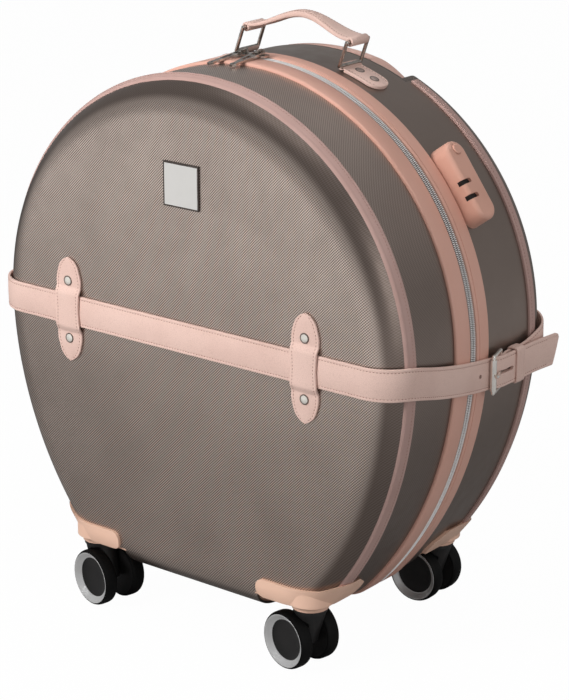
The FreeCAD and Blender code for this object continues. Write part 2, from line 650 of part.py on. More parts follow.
def plate_outline():
    def p(x, z):
        return Vector(x, -FAR, BELT_Z + z)
    tip, neck, wide = p(0, PLATE_HALF), p(13.1, 38.2), p(PLATE_WIDE, RIVET_RISE - 1.0)
    upper = [arc(tip, p(8.3, 46.9), neck), arc(neck, p(14.7, 33.0), wide)]
    upper.append(arc(wide, p(14.8, 13.0), p(PLATE_WAIST, 0)))
    lower = [e.mirror(p(0, 0), Z_AXIS) for e in upper]
    edges = upper + lower[::-1]
    other = Part.Wire(edges).mirror(ORIGIN, X_AXIS)
    return Part.Face(Part.Wire(edges + other.Edges)).extrude(Vector(0, FAR / 2.0, 0))


def plate_profile():
    levels = [(-60.0, PLATE_LOW_Y), (-PLATE_STEP[1], PLATE_LOW_Y), (-PLATE_STEP[0], PLATE_HIGH_Y)]
    levels += [(PLATE_STEP[0], PLATE_HIGH_Y), (PLATE_STEP[1], PLATE_LOW_Y), (60.0, PLATE_LOW_Y)]
    inner = [Vector(-20, y, BELT_Z + z) for z, y in levels]
    outer = [Vector(-20, y - PLATE_THICK, BELT_Z + z) for z, y in reversed(levels)]
    return polygon_prism(inner + outer, Vector(40, 0, 0))


plate = plate_outline().common(plate_profile())
rivet_base = PLATE_LOW_Y - PLATE_THICK
plate_rivets = []
for name, x in (("left", -PLATE_X), ("right", PLATE_X)):
    placed = plate.copy()
    placed.translate(Vector(x, 0, 0))
    save(placed, "loop_plate_" + name)
    for rivet_rise in (-RIVET_RISE, RIVET_RISE):
        base = Vector(x, rivet_base, BELT_Z + rivet_rise)
        cap = cylinder(PLATE_RIVET_RADIUS, base, base + Vector(0, -PLATE_RIVET_HEIGHT, 0))
        top_edge = [e for e in cap.Edges if e.BoundBox.YMax < rivet_base - 1.0]
        plate_rivets.append(cap.makeChamfer(0.6, top_edge))
save(Part.makeCompound(plate_rivets), "plate_rivets")

# Label: a thin frame with a bare inlay plate
LABEL_HEIGHT = 1.6
LABEL_BACK = 0.6
half = LABEL_SIDE / 2.0
inlay = INLAY_SIDE / 2.0
label_front = FACE_Y - LABEL_HEIGHT
label_frame = box(-half, half, label_front, FACE_Y, LABEL_Z - half, LABEL_Z + half)
inlay_plate = box(-inlay, inlay, label_front, FACE_Y - LABEL_BACK, LABEL_Z - inlay, LABEL_Z + inlay)
save(label_frame.cut(inlay_plate), "label_frame")
save(inlay_plate, "label_plate")

# Carry handle tabs: leather straps on the rear half's top wall, folded round the rings' lower bars
TAB_HALF = 14.0
TAB_THICK = 3.2
TAB_LENGTH_DEG = 10.2
TAB_LOOP_RADIUS = 4.6
TAB_END_ROUND = 12.5
TAB_LOW = WALL_RADIUS + 0.1
RIVET_ANGLES = (2.9, 7.1)
TAB_RIVET_RADIUS = 4.6
TAB_RIVET_HEIGHT = 1.2
LOOP_ROOM = 0.3           # leather loops clear the wire by this much
PIVOT_RADIUS = WALL_RADIUS + 0.2 + TAB_LOOP_RADIUS
pivot_angle = math.degrees(math.acos(RING_X / PIVOT_RADIUS))
PIVOT_Z = CENTRE_HEIGHT + PIVOT_RADIUS * math.sin(math.radians(pivot_angle))


def wire_room(x, z, radius, half_width):
    return cylinder(radius, Vector(x, HANDLE_Y - half_width, z), Vector(x, HANDLE_Y + half_width, z))


def handle_tab():
    half_deg = TAB_LENGTH_DEG / 2.0
    sides = (HANDLE_Y - TAB_HALF, HANDLE_Y + TAB_HALF)
    strap = sector(TAB_LOW, TAB_LOW + TAB_THICK, half_deg, half_deg, *sides)
    ends = [e for e in strap.Edges if e.Length < TAB_THICK + 0.1 and e.BoundBox.XMin > 0]
    strap = turn_to(strap.makeFillet(TAB_END_ROUND, ends), pivot_angle - half_deg)
    fold = wire_room(RING_X, PIVOT_Z, TAB_LOOP_RADIUS, TAB_HALF)
    return strap.fuse(fold).cut(wire_room(RING_X, PIVOT_Z, WIRE_RADIUS + LOOP_ROOM, TAB_HALF))


def tab_rivet(offset):
    r0 = TAB_LOW + TAB_THICK
    base = Vector(0, HANDLE_Y, CENTRE_HEIGHT + r0)
    cap = cylinder(TAB_RIVET_RADIUS, base - Vector(0, 0, 0.05), base + Vector(0, 0, TAB_RIVET_HEIGHT))
    return turn_to(cap.cut(wire_room(0, CENTRE_HEIGHT, r0, 10.0)), pivot_angle - offset)


tab_right = handle_tab()
save(tab_right, "handle_tab_right")
save(mirror_x(tab_right), "handle_tab_left")
rivets = [tab_rivet(a) for a in RIVET_ANGLES]
rivets += [mirror_x(r) for r in rivets]
save(Part.makeCompound(rivets), "handle_rivets")

# Handle rings: rectangular wire loops, leaning to the right as they hang
lean = math.radians(RING_LEAN)
grip_shift = RING_LENGTH * math.sin(lean)
grip_z = PIVOT_Z + RING_LENGTH * math.cos(lean)


def handle_ring(pivot_x):
    top_x = pivot_x + grip_shift
    y0, y1 = HANDLE_Y - RING_WIDTH / 2.0, HANDLE_Y + RING_WIDTH / 2.0
    corners = [Vector(pivot_x, y0, PIVOT_Z), Vector(pivot_x, y1, PIVOT_Z)]
    corners += [Vector(top_x, y1, grip_z), Vector(top_x, y0, grip_z)]
    wires = [cylinder(WIRE_RADIUS, corners[i], corners[(i + 1) % 4]) for i in range(4)]
    wires += [Part.makeSphere(WIRE_RADIUS, c) for c in corners]
    return wires[0].multiFuse(wires[1:])


save(handle_ring(-RING_X), "handle_ring_left")
save(handle_ring(RING_X), "handle_ring_right")

# Handle grip: a bowed padded strap, narrow and thick in the middle, folded round the rings' upper bars
GRIP_MIDDLE_HALF = 7.0
GRIP_END_HALF = 13.0
GRIP_MIDDLE_THICK = 3.4   # half thickness
GRIP_END_THICK = 2.5
GRIP_SEAT = 1.9           # strap's middle above the bar it folds round
GRIP_RISE = 15.8
GRIP_STATIONS = 13
GRIP_LOOP_RADIUS = 4.4


def grip_middle(share):
    z = grip_z + GRIP_SEAT + GRIP_RISE * 0.5 * (1.0 + math.cos(math.pi * share))
    return Vector(grip_shift + share * RING_X, HANDLE_Y, z)


def grip_section(i):
    share = 2.0 * i / (GRIP_STATIONS - 1) - 1.0
    along = (grip_middle(share + 0.01) - grip_middle(share - 0.01)).normalize()
    up = Vector(-along.z, 0, along.x)
    spread = 0.5 * (1.0 - math.cos(math.pi * share))
    half_width = GRIP_MIDDLE_HALF + (GRIP_END_HALF - GRIP_MIDDLE_HALF) * spread
    thick = GRIP_MIDDLE_THICK + (GRIP_END_THICK - GRIP_MIDDLE_THICK) * spread
    shape = ((-1.0, -0.35), (-1.0, 0.35), (-0.7, 1.0), (0.7, 1.0),
             (1.0, 0.35), (1.0, -0.35), (0.7, -1.0), (-0.7, -1.0))
    return loop([grip_middle(share) + Y_AXIS * (half_width * a) + up * (thick * b) for a, b in shape])


grip = Part.makeLoft([grip_section(i) for i in range(GRIP_STATIONS)], True, True)
for x in (-RING_X, RING_X):
    grip = grip.fuse(wire_room(x + grip_shift, grip_z, GRIP_LOOP_RADIUS, GRIP_END_HALF))
for x in (-RING_X, RING_X):
    grip = grip.cut(wire_room(x + grip_shift, grip_z, WIRE_RADIUS + LOOP_ROOM, RING_WIDTH))
save(grip, "handle_grip")

# Trolley: a cup set into the rear top edge, telescopic tubes, and a curved grip with a push button
CUP_WALL = 2.5
TUBE_WALL = 1.2
OUTER_TUBE = (11.0, 6.5)  # half width along X, half depth along Y
MID_TUBE = (9.5, 5.0)
INNER_TUBE = (8.0, 3.5)
TUBE_LOW = 70.0
TUBE_TOP = 530.0          # tubes are cut back to the round floor or grip from here
MID_TUBE_TOP = 514.0
STAGE_RISE = 22.0         # each inner stage starts this much higher
GRIP_BAR_LOW = 222.0
GRIP_BAR_Y = (96.5, 122.0)
GRIP_BAR_ENDS = (20.6, 3.1)
BAR_SINK = 1.0            # grip's top below the shell wall
BUTTON_HALF = 20.0
BUTTON_Y = (101.0, 113.0)
BUTTON_TRAVEL = 2.5
BUTTON_GAP = 0.4
BUTTON_POCKET = 225.0
rear_outer = mirror_y(back_outer)


def tube(x, half, z0, z1):
    body = box(x - half[0], x + half[0], TUBE_Y - half[1], TUBE_Y + half[1], z0, z1)
    return body.makeFillet(min(half) * 0.6, [e for e in body.Edges if e.BoundBox.ZLength > 1])


def tube_pair(half, z0, z1):
    hole = (half[0] - TUBE_WALL, half[1] - TUBE_WALL)
    pair = [tube(x, half, z0, z1).cut(tube(x, hole, z0 - 1, z1 + 1)) for x in (-TUBE_X, TUBE_X)]
    return Part.makeCompound(pair)


def inside_radius(radius):
    return cylinder(radius, Vector(0, 60, CENTRE_HEIGHT), Vector(0, FAR, CENTRE_HEIGHT))


cup_half = NOTCH_HALF_ANGLE - 0.02
cup_room = NOTCH_HALF_ANGLE - 1.5
cup = rear_outer.common(sector(NOTCH_FLOOR, OUTSIDE_RADIUS, cup_half, cup_half, NOTCH_Y, FAR))
cup = cup.cut(sector(NOTCH_FLOOR + CUP_WALL, OUTSIDE_RADIUS, cup_room, cup_room, NOTCH_Y + CUP_WALL, FAR))
tube_room = (MID_TUBE[0] + 0.4, MID_TUBE[1] + 0.4)
for x in (-TUBE_X, TUBE_X):
    cup = cup.cut(tube(x, tube_room, TUBE_TOP - 50.0, TUBE_TOP))
save(cup, "trolley_cup")
outer_tubes = tube_pair(OUTER_TUBE, TUBE_LOW, TUBE_TOP)
inner_tubes = tube_pair(INNER_TUBE, TUBE_LOW + 2.0 * STAGE_RISE, TUBE_TOP)
save(outer_tubes.common(inside_radius(NOTCH_FLOOR - 0.1)), "trolley_outer_tubes")
save(tube_pair(MID_TUBE, TUBE_LOW + STAGE_RISE, MID_TUBE_TOP), "trolley_mid_tubes")
save(inner_tubes.common(inside_radius(GRIP_BAR_LOW - 0.02)), "trolley_inner_tubes")

bar_skin = mirror_y(tray(-BAND_PROUD - BAR_SINK, -RIM_Y, 1.5 - REAR_DEPTH, REAR_SHOULDER - 1.5))
bar = bar_skin.common(sector(GRIP_BAR_LOW, OUTSIDE_RADIUS, GRIP_BAR_ENDS[0], GRIP_BAR_ENDS[1], *GRIP_BAR_Y))
room_half = BUTTON_HALF + BUTTON_GAP
button_room = box(-room_half, room_half, BUTTON_Y[0] - BUTTON_GAP, BUTTON_Y[1] + BUTTON_GAP,
                  CENTRE_HEIGHT + BUTTON_POCKET, CENTRE_HEIGHT + OUTSIDE_RADIUS)
save(bar.cut(button_room), "trolley_grip")
button_low = CENTRE_HEIGHT + BUTTON_POCKET + BUTTON_TRAVEL + 0.5
button = box(-BUTTON_HALF, BUTTON_HALF, BUTTON_Y[0], BUTTON_Y[1], button_low, CENTRE_HEIGHT + OUTSIDE_RADIUS)
save(button.common(bar_skin), "trolley_button")

BASE_HALF = 64.0
BASE_Y = 98.0
BASE_HEIGHT = 12.0
BASE_ROUND = 4.0
base_sink = WALL + 0.2    # clear of the shell's inner face
base_room = tray(-BAND_PROUD - base_sink, -RIM_Y, base_sink - REAR_DEPTH, REAR_SHOULDER - base_sink)
base = box(-BASE_HALF, BASE_HALF, BASE_Y, REAR_DEPTH, TUBE_LOW - BASE_HEIGHT, TUBE_LOW)
base_edges = [e for e in base.Edges if e.BoundBox.ZLength > 5 and e.BoundBox.YMax < BASE_Y + 1]
save(base.makeFillet(BASE_ROUND, base_edges).common(mirror_y(base_room)), "trolley_base")

# Combination lock, made at the top of the outline and turned to its place on the right
LOCK_HALF = 39.5
LOCK_Y = (25.4, 52.0)
LOCK_END_ROUND = 13.0
LOCK_EDGE_ROUND = 4.5
SLOT_HALF = 2.2
SLOT_DEEP = 7.0
SLOT_END_Y = 37.0
DIAL_RADIUS = 6.4
DIAL_Y = 47.4
DIAL_R = 247.9
DIAL_WIDTH = 5.0
DIAL_ROOM = 0.4
LOCK_AXLE_RADIUS = 1.5
LOCK_AXLE_OVER = 7.0      # axle past the middle of the end dials
KNURLS = 10
KNURL_RADIUS = 1.1
LOCK_BUTTON_X = -30.0
LOCK_BUTTON_Y = 39.5
LOCK_BUTTON_RADIUS = 5.0
LOCK_BUTTON_SINK = 4.0    # button's foot below the housing's top
LOCK_BUTTON_HEIGHT = 5.6
LOCK_POCKET = 6.0


def lock_axle():
    z = CENTRE_HEIGHT + DIAL_R
    start = Vector(DIAL_PLACES[0] - LOCK_AXLE_OVER, DIAL_Y, z)
    return cylinder(LOCK_AXLE_RADIUS, start, Vector(DIAL_PLACES[2] + LOCK_AXLE_OVER, DIAL_Y, z))


def lock_housing():
    z1 = CENTRE_HEIGHT + LOCK_TOP
    body = box(-LOCK_HALF, LOCK_HALF, LOCK_Y[0], LOCK_Y[1], CENTRE_HEIGHT + 225, z1)
    body = body.makeFillet(LOCK_END_ROUND, [e for e in body.Edges if e.BoundBox.ZLength > 5])
    body = body.makeFillet(LOCK_EDGE_ROUND, [e for e in body.Edges if e.BoundBox.ZMin > z1 - 0.1])
    body = body.cut(cylinder(WALL_RADIUS + 0.05, MID, MID + Vector(0, FAR, 0)))
    dial_half = DIAL_WIDTH / 2.0 + DIAL_ROOM
    pocket_top = CENTRE_HEIGHT + DIAL_R + DIAL_RADIUS + 0.5
    for x in DIAL_PLACES:
        pocket_y = DIAL_Y - DIAL_RADIUS - 0.6
        body = body.cut(box(x - dial_half, x + dial_half, pocket_y, FAR, pocket_top - 30.0, pocket_top))
    for x in SLOT_PLACES:
        slot = box(x - SLOT_HALF, x + SLOT_HALF, 20, SLOT_END_Y, z1 - SLOT_DEEP, z1 + 5)
        ends = [e for e in slot.Edges if e.BoundBox.ZLength > 5 and e.BoundBox.YMin > 30]
        body = body.cut(slot.makeFillet(SLOT_HALF - 0.1, ends))
    button_axis = Vector(LOCK_BUTTON_X, LOCK_BUTTON_Y, z1 - LOCK_POCKET)
    pocket = cylinder(LOCK_BUTTON_RADIUS + 0.3, button_axis, button_axis + Vector(0, 0, 20))
    return body.cut(lock_axle()).cut(pocket)


def lock_dial(x):
    middle = Vector(x, DIAL_Y, CENTRE_HEIGHT + DIAL_R)
    start = middle - Vector(DIAL_WIDTH / 2.0, 0, 0)
    end = middle + Vector(DIAL_WIDTH / 2.0, 0, 0)
    dial = cylinder(DIAL_RADIUS, start, end).cut(cylinder(LOCK_AXLE_RADIUS + 0.05, start, end))
    for i in range(KNURLS):
        a = 2.0 * math.pi * i / KNURLS
        offset = Vector(0, math.cos(a), math.sin(a)) * (DIAL_RADIUS + 0.5)
        dial = dial.cut(cylinder(KNURL_RADIUS, start + offset, end + offset))
    return dial


save(turn_to(lock_housing(), LOCK_ANGLE), "lock_housing")
save(turn_to(lock_axle(), LOCK_ANGLE), "lock_axle")
for number, x in enumerate(DIAL_PLACES, 1):
    save(turn_to(lock_dial(x), LOCK_ANGLE), "lock_dial_" + str(number))
button_base = Vector(LOCK_BUTTON_X, LOCK_BUTTON_Y, CENTRE_HEIGHT + LOCK_TOP - LOCK_BUTTON_SINK)
lock_button = cylinder(LOCK_BUTTON_RADIUS, button_base, button_base + Vector(0, 0, LOCK_BUTTON_HEIGHT))
button_edge = [e for e in lock_button.Edges if e.BoundBox.ZMin > button_base.z + LOCK_BUTTON_HEIGHT - 0.5]
save(turn_to(lock_button.makeFillet(1.2, button_edge), LOCK_ANGLE), "lock_button")

# Zip sliders on the chain near the top, each with a hinged pull
SLIDER_ANGLES = (95.6, 91.0)
SLIDER_LOW = CENTRE_HEIGHT + HALF_WIDTH + 0.4
BAIL_Z = SLIDER_LOW + 4.0
SLIDER_THICK = 2.2
PULL_TURNS = (-11.0, 0.0)
PULL_DROOP = 7.0
PULL_HALF = 1.0           # half thickness of a pull


def slider_body():
    outline_half = ((-8.0, 3.0), (-4.0, 6.2), (6.0, 6.2), (8.0, 4.0))
    points = [Vector(x, -y, SLIDER_LOW) for x, y in outline_half]
    points += [Vector(x, y, SLIDER_LOW) for x, y in reversed(outline_half)]
    bridge = box(-1.6, 1.6, -5.5, 5.5, SLIDER_LOW + 2.0, SLIDER_LOW + 7.0)
    top_edges = [e for e in bridge.Edges if e.BoundBox.XLength > 2 and e.BoundBox.ZMin > SLIDER_LOW + 6]
    bridge = bridge.makeFillet(2.0, top_edges)
    bridge = bridge.cut(box(-5, 5, -3.2, 3.2, SLIDER_LOW + SLIDER_THICK, SLIDER_LOW + 5.6))
    return polygon_prism(points, Vector(0, 0, SLIDER_THICK)).fuse(bridge)


# Pull: a pin under the bridge, two arms and a tapering slotted blade that lies over the front band
def zip_pull(turn):
    low, high = BAIL_Z - PULL_HALF, BAIL_Z + PULL_HALF
    pin = cylinder(PULL_HALF, Vector(-4.0, 0, BAIL_Z), Vector(4.0, 0, BAIL_Z))
    arms = [box(x - 1.0, x + 1.0, -11.0, 1.0, low, high) for x in (-4.0, 4.0)]
    blade_half = ((5.0, -10.0), (4.6, -17.0), (2.6, -35.0), (3.5, -39.5), (1.6, -43.0))
    points = [Vector(x, y, low) for x, y in blade_half]
    points += [Vector(-x, y, low) for x, y in reversed(blade_half)]
    blade = polygon_prism(points, Vector(0, 0, 2.0 * PULL_HALF))
    blade = blade.cut(box(-1.7, 1.7, -26.0, -14.0, low - 2, high + 2))
    blade = blade.cut(cylinder(1.2, Vector(0, -38.5, low - 2), Vector(0, -38.5, high + 2)))
    pull = pin.multiFuse(arms + [blade])
    pull.rotate(Vector(0, 0, BAIL_Z), X_AXIS, PULL_DROOP)
    pull.rotate(Vector(0, 0, BAIL_Z), Z_AXIS, turn)
    return pull


for number, (angle, turn) in enumerate(zip(SLIDER_ANGLES, PULL_TURNS), 1):
    save(turn_to(slider_body(), angle), "zip_slider_" + str(number))
    save(turn_to(zip_pull(turn), angle), "zip_pull_" + str(number))
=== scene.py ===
import bmesh
import bpy
from math import atan2, copysign, cos, exp, hypot, pi, radians, sin, sqrt
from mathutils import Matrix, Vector


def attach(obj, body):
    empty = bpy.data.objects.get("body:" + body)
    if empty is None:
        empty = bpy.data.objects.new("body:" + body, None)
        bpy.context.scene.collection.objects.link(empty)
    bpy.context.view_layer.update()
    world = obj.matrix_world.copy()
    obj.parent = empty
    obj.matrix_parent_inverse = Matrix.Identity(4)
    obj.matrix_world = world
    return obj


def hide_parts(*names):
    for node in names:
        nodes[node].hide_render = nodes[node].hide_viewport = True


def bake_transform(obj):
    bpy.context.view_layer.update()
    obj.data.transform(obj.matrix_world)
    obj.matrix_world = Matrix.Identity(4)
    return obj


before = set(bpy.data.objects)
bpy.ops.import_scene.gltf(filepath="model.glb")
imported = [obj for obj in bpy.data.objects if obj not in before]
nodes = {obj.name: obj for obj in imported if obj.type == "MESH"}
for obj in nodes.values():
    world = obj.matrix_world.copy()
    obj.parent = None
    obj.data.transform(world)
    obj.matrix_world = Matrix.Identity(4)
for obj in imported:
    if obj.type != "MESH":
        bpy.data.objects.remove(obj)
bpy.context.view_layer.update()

scene = bpy.context.scene


# Camera: the case is seen from its front right corner and from a little above its middle,
# with a long lens, so that the round face shows as a leaning oval.
def put(name, data):
    made = bpy.data.objects.new(name, data)
    scene.collection.objects.link(made)
    return made


camera = put("camera", bpy.data.cameras.new("camera"))
camera_at = Vector((1.34233, -1.67766, 0.97699))
camera_target = Vector((0.1172, -0.1180, 0.3130))
camera.location = camera_at
camera.rotation_mode = "QUATERNION"
camera.rotation_quaternion = (camera_target - camera_at).to_track_quat("-Z", "Y")
camera.data.sensor_width = 36.0
camera.data.lens = 121.46
camera.data.clip_start = 0.05
scene.camera = camera
scene.view_settings.view_transform = "Standard"


# Studio: a plain white floor under three soft lamps and an even pale sky. The floor shows white to the camera
# and, ahead and on the right, in reflections. It keeps a faint shadow under the wheels.
def srgb(*levels):
    shares = [level / 255.0 for level in levels]
    return tuple(c / 12.92 if c <= 0.0393 else ((c + 0.055) / 1.055) ** 2.4 for c in shares) + (1.0,)


def add_node(tree, kind, values=None, **settings):
    made = tree.nodes.new(kind)
    for key, value in settings.items():
        setattr(made, key, value)
    for key, value in (values or {}).items():
        made.inputs[key].default_value = value
    return made


# A material whose colour, bump and gloss are varied by nodes, one call for each kind of variation
class CaseFinish:
    def __init__(self, name, colour, rough, metal=0.0, coat=0.0):
        self.material = bpy.data.materials.new(name)
        self.material.use_nodes = True
        self.tree = self.material.node_tree
        self.surface = self.tree.nodes["Principled BSDF"]
        self.colour = srgb(*colour)
        base = {"Base Color": self.colour, "Roughness": rough, "Metallic": metal, "Coat Weight": coat}
        for key, value in base.items():
            self.surface.inputs[key].default_value = value

    def node(self, kind, values=None, **settings):
        return add_node(self.tree, "ShaderNode" + kind, values, **settings)

    def link(self, source, target):
        self.tree.links.new(source, target)

    def place(self, kind="Object"):
        return self.node("TexCoord").outputs[kind]

    def along(self, axis, kind="Object"):
        made = self.node("SeparateXYZ")
        self.link(self.place(kind), made.inputs[0])
        return made.outputs[axis]

    def noise(self, scale, detail=3.0):
        made = self.node("TexNoise", {"Scale": scale, "Detail": detail})
        self.link(self.place(), made.inputs["Vector"])
        return made.outputs[0]

    def grain(self, scale):
        made = self.node("TexVoronoi", {"Scale": scale}, feature="DISTANCE_TO_EDGE")
        self.link(self.place(), made.inputs["Vector"])
        return made.outputs["Distance"]

    def sum(self, operation, a, b=0.0):
        made = self.node("Math", operation=operation)
        for socket, value in zip(made.inputs, (a, b)):
            if isinstance(value, (int, float)):
                socket.default_value = value
            else:
                self.link(value, socket)
        return made.outputs[0]

    def wave(self, value, turn):
        return self.sum("SINE", self.sum("MULTIPLY", value, turn))

    def ramp(self, value, low, high, to_low=0.0, to_high=1.0):
        limits = {"From Min": low, "From Max": high, "To Min": to_low, "To Max": to_high}
        made = self.node("MapRange", limits, interpolation_type="SMOOTHSTEP")
        self.link(value, made.inputs["Value"])
        return made.outputs["Result"]

    def tint(self, share, other):
        made = self.node("Mix", data_type="RGBA")
        self.link(share, made.inputs[0])
        made.inputs[6].default_value = self.colour
        base = self.surface.inputs["Base Color"]
        if base.is_linked:
            self.link(base.links[0].from_socket, made.inputs[6])
        made.inputs[7].default_value = srgb(*other)
        self.link(made.outputs[2], base)

    def emboss(self, height, depth, strength=1.0):
        made = self.node("Bump", {"Strength": strength, "Distance": depth})
        self.link(height, made.inputs["Height"])
        normal = self.surface.inputs["Normal"]
        if normal.is_linked:
            self.link(normal.links[0].from_socket, made.inputs["Normal"])
        self.link(made.outputs["Normal"], normal)

    def mottle(self, scale, detail, low, high, share, other):
        self.tint(self.ramp(self.noise(scale, detail), low, high, 0.0, share), other)

    def grit(self, scale, detail, depth, strength):
        self.emboss(self.noise(scale, detail), depth, strength)

    def sheen(self, scale, detail, low, high):
        self.link(self.ramp(self.noise(scale, detail), 0.3, 0.7, low, high), self.surface.inputs["Roughness"])


floor_mesh = bpy.data.meshes.new("studio_floor")
floor_mesh.from_pydata([(-9, -9, 0), (9, -9, 0), (9, 9, 0), (-9, 9, 0)], [], [(0, 1, 2, 3)])
floor = put("studio_floor", floor_mesh)
floor_finish = CaseFinish("floor_white", (164, 164, 164), 0.8)
floor_ray = floor_finish.node("LightPath")
floor_finish.tint(floor_ray.outputs["Is Camera Ray"], (250, 250, 250))
floor_glow = floor_finish.node("Emission")
floor_mix = floor_finish.node("MixShader")
floor_ahead = floor_finish.ramp(floor_finish.along("Y"), -1.20, -0.55, 1.0, 0.0)
floor_aside = floor_finish.ramp(floor_finish.along("X"), 0.30, 0.80, 0.0, 0.3)
floor_card = floor_finish.sum("MULTIPLY", floor_ray.outputs["Is Glossy Ray"],
                              floor_finish.sum("MAXIMUM", floor_ahead, floor_aside))
floor_seen = floor_finish.sum("MULTIPLY", floor_ray.outputs["Is Camera Ray"], 0.98)
floor_finish.link(floor_finish.sum("ADD", floor_seen, floor_card), floor_mix.inputs[0])
floor_finish.link(floor_finish.surface.outputs[0], floor_mix.inputs[1])
floor_finish.link(floor_glow.outputs[0], floor_mix.inputs[2])
floor_finish.link(floor_mix.outputs[0], floor_finish.tree.nodes["Material Output"].inputs["Surface"])
floor_mesh.materials.append(floor_finish.material)
NARROW_SPREAD = 90.0
LAMPS = (
    ("key_lamp", (-0.55, -1.50, 1.10), (-0.05, -0.12, 0.42), 0.6, 54.0, 3.0),
    ("top_lamp", (0.1, 0.2, 3.0), (0.0, 0.0, 0.3), 2.2, 180.0, 13.0),
    ("fill_lamp", (2.7, -0.4, 1.1), (0.0, 0.0, 0.3), 1.8, 180.0, 15.0),
)
for lamp_name, lamp_at, lamp_aim, lamp_size, lamp_spread, lamp_power in LAMPS:
    lamp = bpy.data.lights.new(lamp_name, "AREA")
    lamp.size = lamp_size
    lamp.spread = radians(lamp_spread)
    lamp.energy = lamp_power
    holder = put(lamp_name, lamp)
    holder.location = lamp_at
    holder.visible_camera = False
    holder.visible_glossy = lamp_spread > NARROW_SPREAD
    holder.rotation_mode = "QUATERNION"
    holder.rotation_quaternion = (Vector(lamp_aim) - Vector(lamp_at)).to_track_quat("-Z", "Y")
sky = bpy.data.worlds.new("studio_sky")
sky.use_nodes = True
sky_glow = sky.node_tree.nodes["Background"]
sky_glow.inputs["Color"].default_value = (1, 1, 1, 1)
sky_ray = add_node(sky.node_tree, "ShaderNodeLightPath")
sky_level = add_node(sky.node_tree, "ShaderNodeMapRange", {"To Min": 0.34})
sky.node_tree.links.new(sky_ray.outputs["Is Camera Ray"], sky_level.inputs["Value"])
sky.node_tree.links.new(sky_level.outputs["Result"], sky_glow.inputs["Strength"])
scene.world = sky

# Front shell: the lid, a deep tray of thermoformed plastic with a wide moulded shoulder. Its face is
# embossed with a fine diamond weave that fades on the side wall. Its lower corners clear the wheels.
CENTRE = 301.5
TOP_RADIUS = 240.0
FLANK_RADIUS = 360.0
FOOT_RADIUS = 45.0
FOOT_X = 112.1
FOOT_Z = 88.5
TOP_RUN = TOP_RADIUS * pi / 2.0
FLANK_SHIFT = FLANK_RADIUS - TOP_RADIUS
FLANK_TURN = atan2(CENTRE - FOOT_Z, FOOT_X + FLANK_SHIFT)
FLANK_RUN = FLANK_RADIUS * FLANK_TURN
FOOT_RUN = FOOT_RADIUS * (pi / 2.0 - FLANK_TURN)
HALF_RUN = TOP_RUN + FLANK_RUN + FOOT_RUN + FOOT_X


# Point at `run` mm clockwise from the top of the outline, `y` back from the zip and `d` outside the zip band
def on_case(run, y, d):
    side = 1.0 if run >= 0 else -1.0
    run = abs(run)
    if run < TOP_RUN:
        turn = pi / 2.0 - run / TOP_RADIUS
        x, z = TOP_RADIUS * cos(turn), CENTRE + TOP_RADIUS * sin(turn)
    elif run < TOP_RUN + FLANK_RUN:
        turn = (TOP_RUN - run) / FLANK_RADIUS
        x, z = FLANK_RADIUS * cos(turn) - FLANK_SHIFT, CENTRE + FLANK_RADIUS * sin(turn)
    elif run < HALF_RUN - FOOT_X:
        turn = -FLANK_TURN - (run - TOP_RUN - FLANK_RUN) / FOOT_RADIUS
        x, z = FOOT_X + FOOT_RADIUS * cos(turn), FOOT_Z + FOOT_RADIUS * sin(turn)
    else:
        turn = -pi / 2.0
        x, z = HALF_RUN - run, FOOT_Z - FOOT_RADIUS
    return Vector((side * (x + cos(turn) * d), y, z + sin(turn) * d))


def steps(start, end, pitch):
    count = max(1, int(round(abs(end - start) / pitch)))
    return [start + (end - start) * i / count for i in range(count + 1)]


def lengths(points):
    run = [0.0]
    for a, b in zip(points, points[1:]):
        run.append(run[-1] + (Vector(b) - Vector(a)).length)
    return run


# Quads between `count` rings of `size` points, from point `first` on; `closed` joins the last ring to the first
def skin(count, size, closed=False, first=0):
    faces = []
    for i in range(count if closed else count - 1):
        a, b = first + i * size, first + (i + 1) % count * size
        faces += [(a + j, a + (j + 1) % size, b + (j + 1) % size, b + j) for j in range(size)]
    last = first + (count - 1) * size
    return faces if closed else faces + [tuple(range(first, first + size)), tuple(range(last, last + size))]


def make_piece(name, points, faces, finish, uv=None, crease=40.0):
    mesh = bpy.data.meshes.new(name)
    mesh.from_pydata([0.001 * Vector(p) for p in points], [], faces)
    if uv:
        layer = mesh.uv_layers.new(name="UVMap")
        for loop in mesh.loops:
            layer.data[loop.index].uv = 0.001 * Vector(uv[loop.vertex_index])
    shape = bmesh.new()
    shape.from_mesh(mesh)
    bmesh.ops.recalc_face_normals(shape, faces=shape.faces)
    shape.to_mesh(mesh)
    shape.free()
    mesh.shade_smooth()
    mesh.set_sharp_from_angle(angle=radians(crease))
    if finish:
        mesh.materials.append(finish.material)
    return put(name, mesh)


def stands_for(made, body, slot, *replaced):
    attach(made, body)
    if replaced:
        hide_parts(*replaced)
    return made


def keep_result(made):
    made.data = bpy.data.meshes.new_from_object(made.evaluated_get(bpy.context.evaluated_depsgraph_get()))
    made.modifiers.clear()


def cut_away(made, cutters):
    for cutter in cutters:
        cut = made.modifiers.new("cut", "BOOLEAN")
        cut.object = cutter
        cut.solver = "EXACT"
    keep_result(made)
    made.data.shade_smooth()
    made.data.set_sharp_from_angle(angle=radians(30.0))
    for cutter in cutters:
        bpy.data.objects.remove(cutter)
    return made


def around(count):
    return [2.0 * pi * i / count for i in range(count)]


def upright_drum(radius, x, y, low, high, sides=96):
    points = [(x + radius * cos(t), y + radius * sin(t), z) for z in (low, high) for t in around(sides)]
    return make_piece("drum", points, skin(2, sides), None)


def sweep(runs, profile):
    points = [on_case(run, y, d) for run in runs for y, d in profile]
    uv = [(run, v) for run in runs for v in lengths([(y, d, 0.0) for y, d in profile])]
    return points, uv


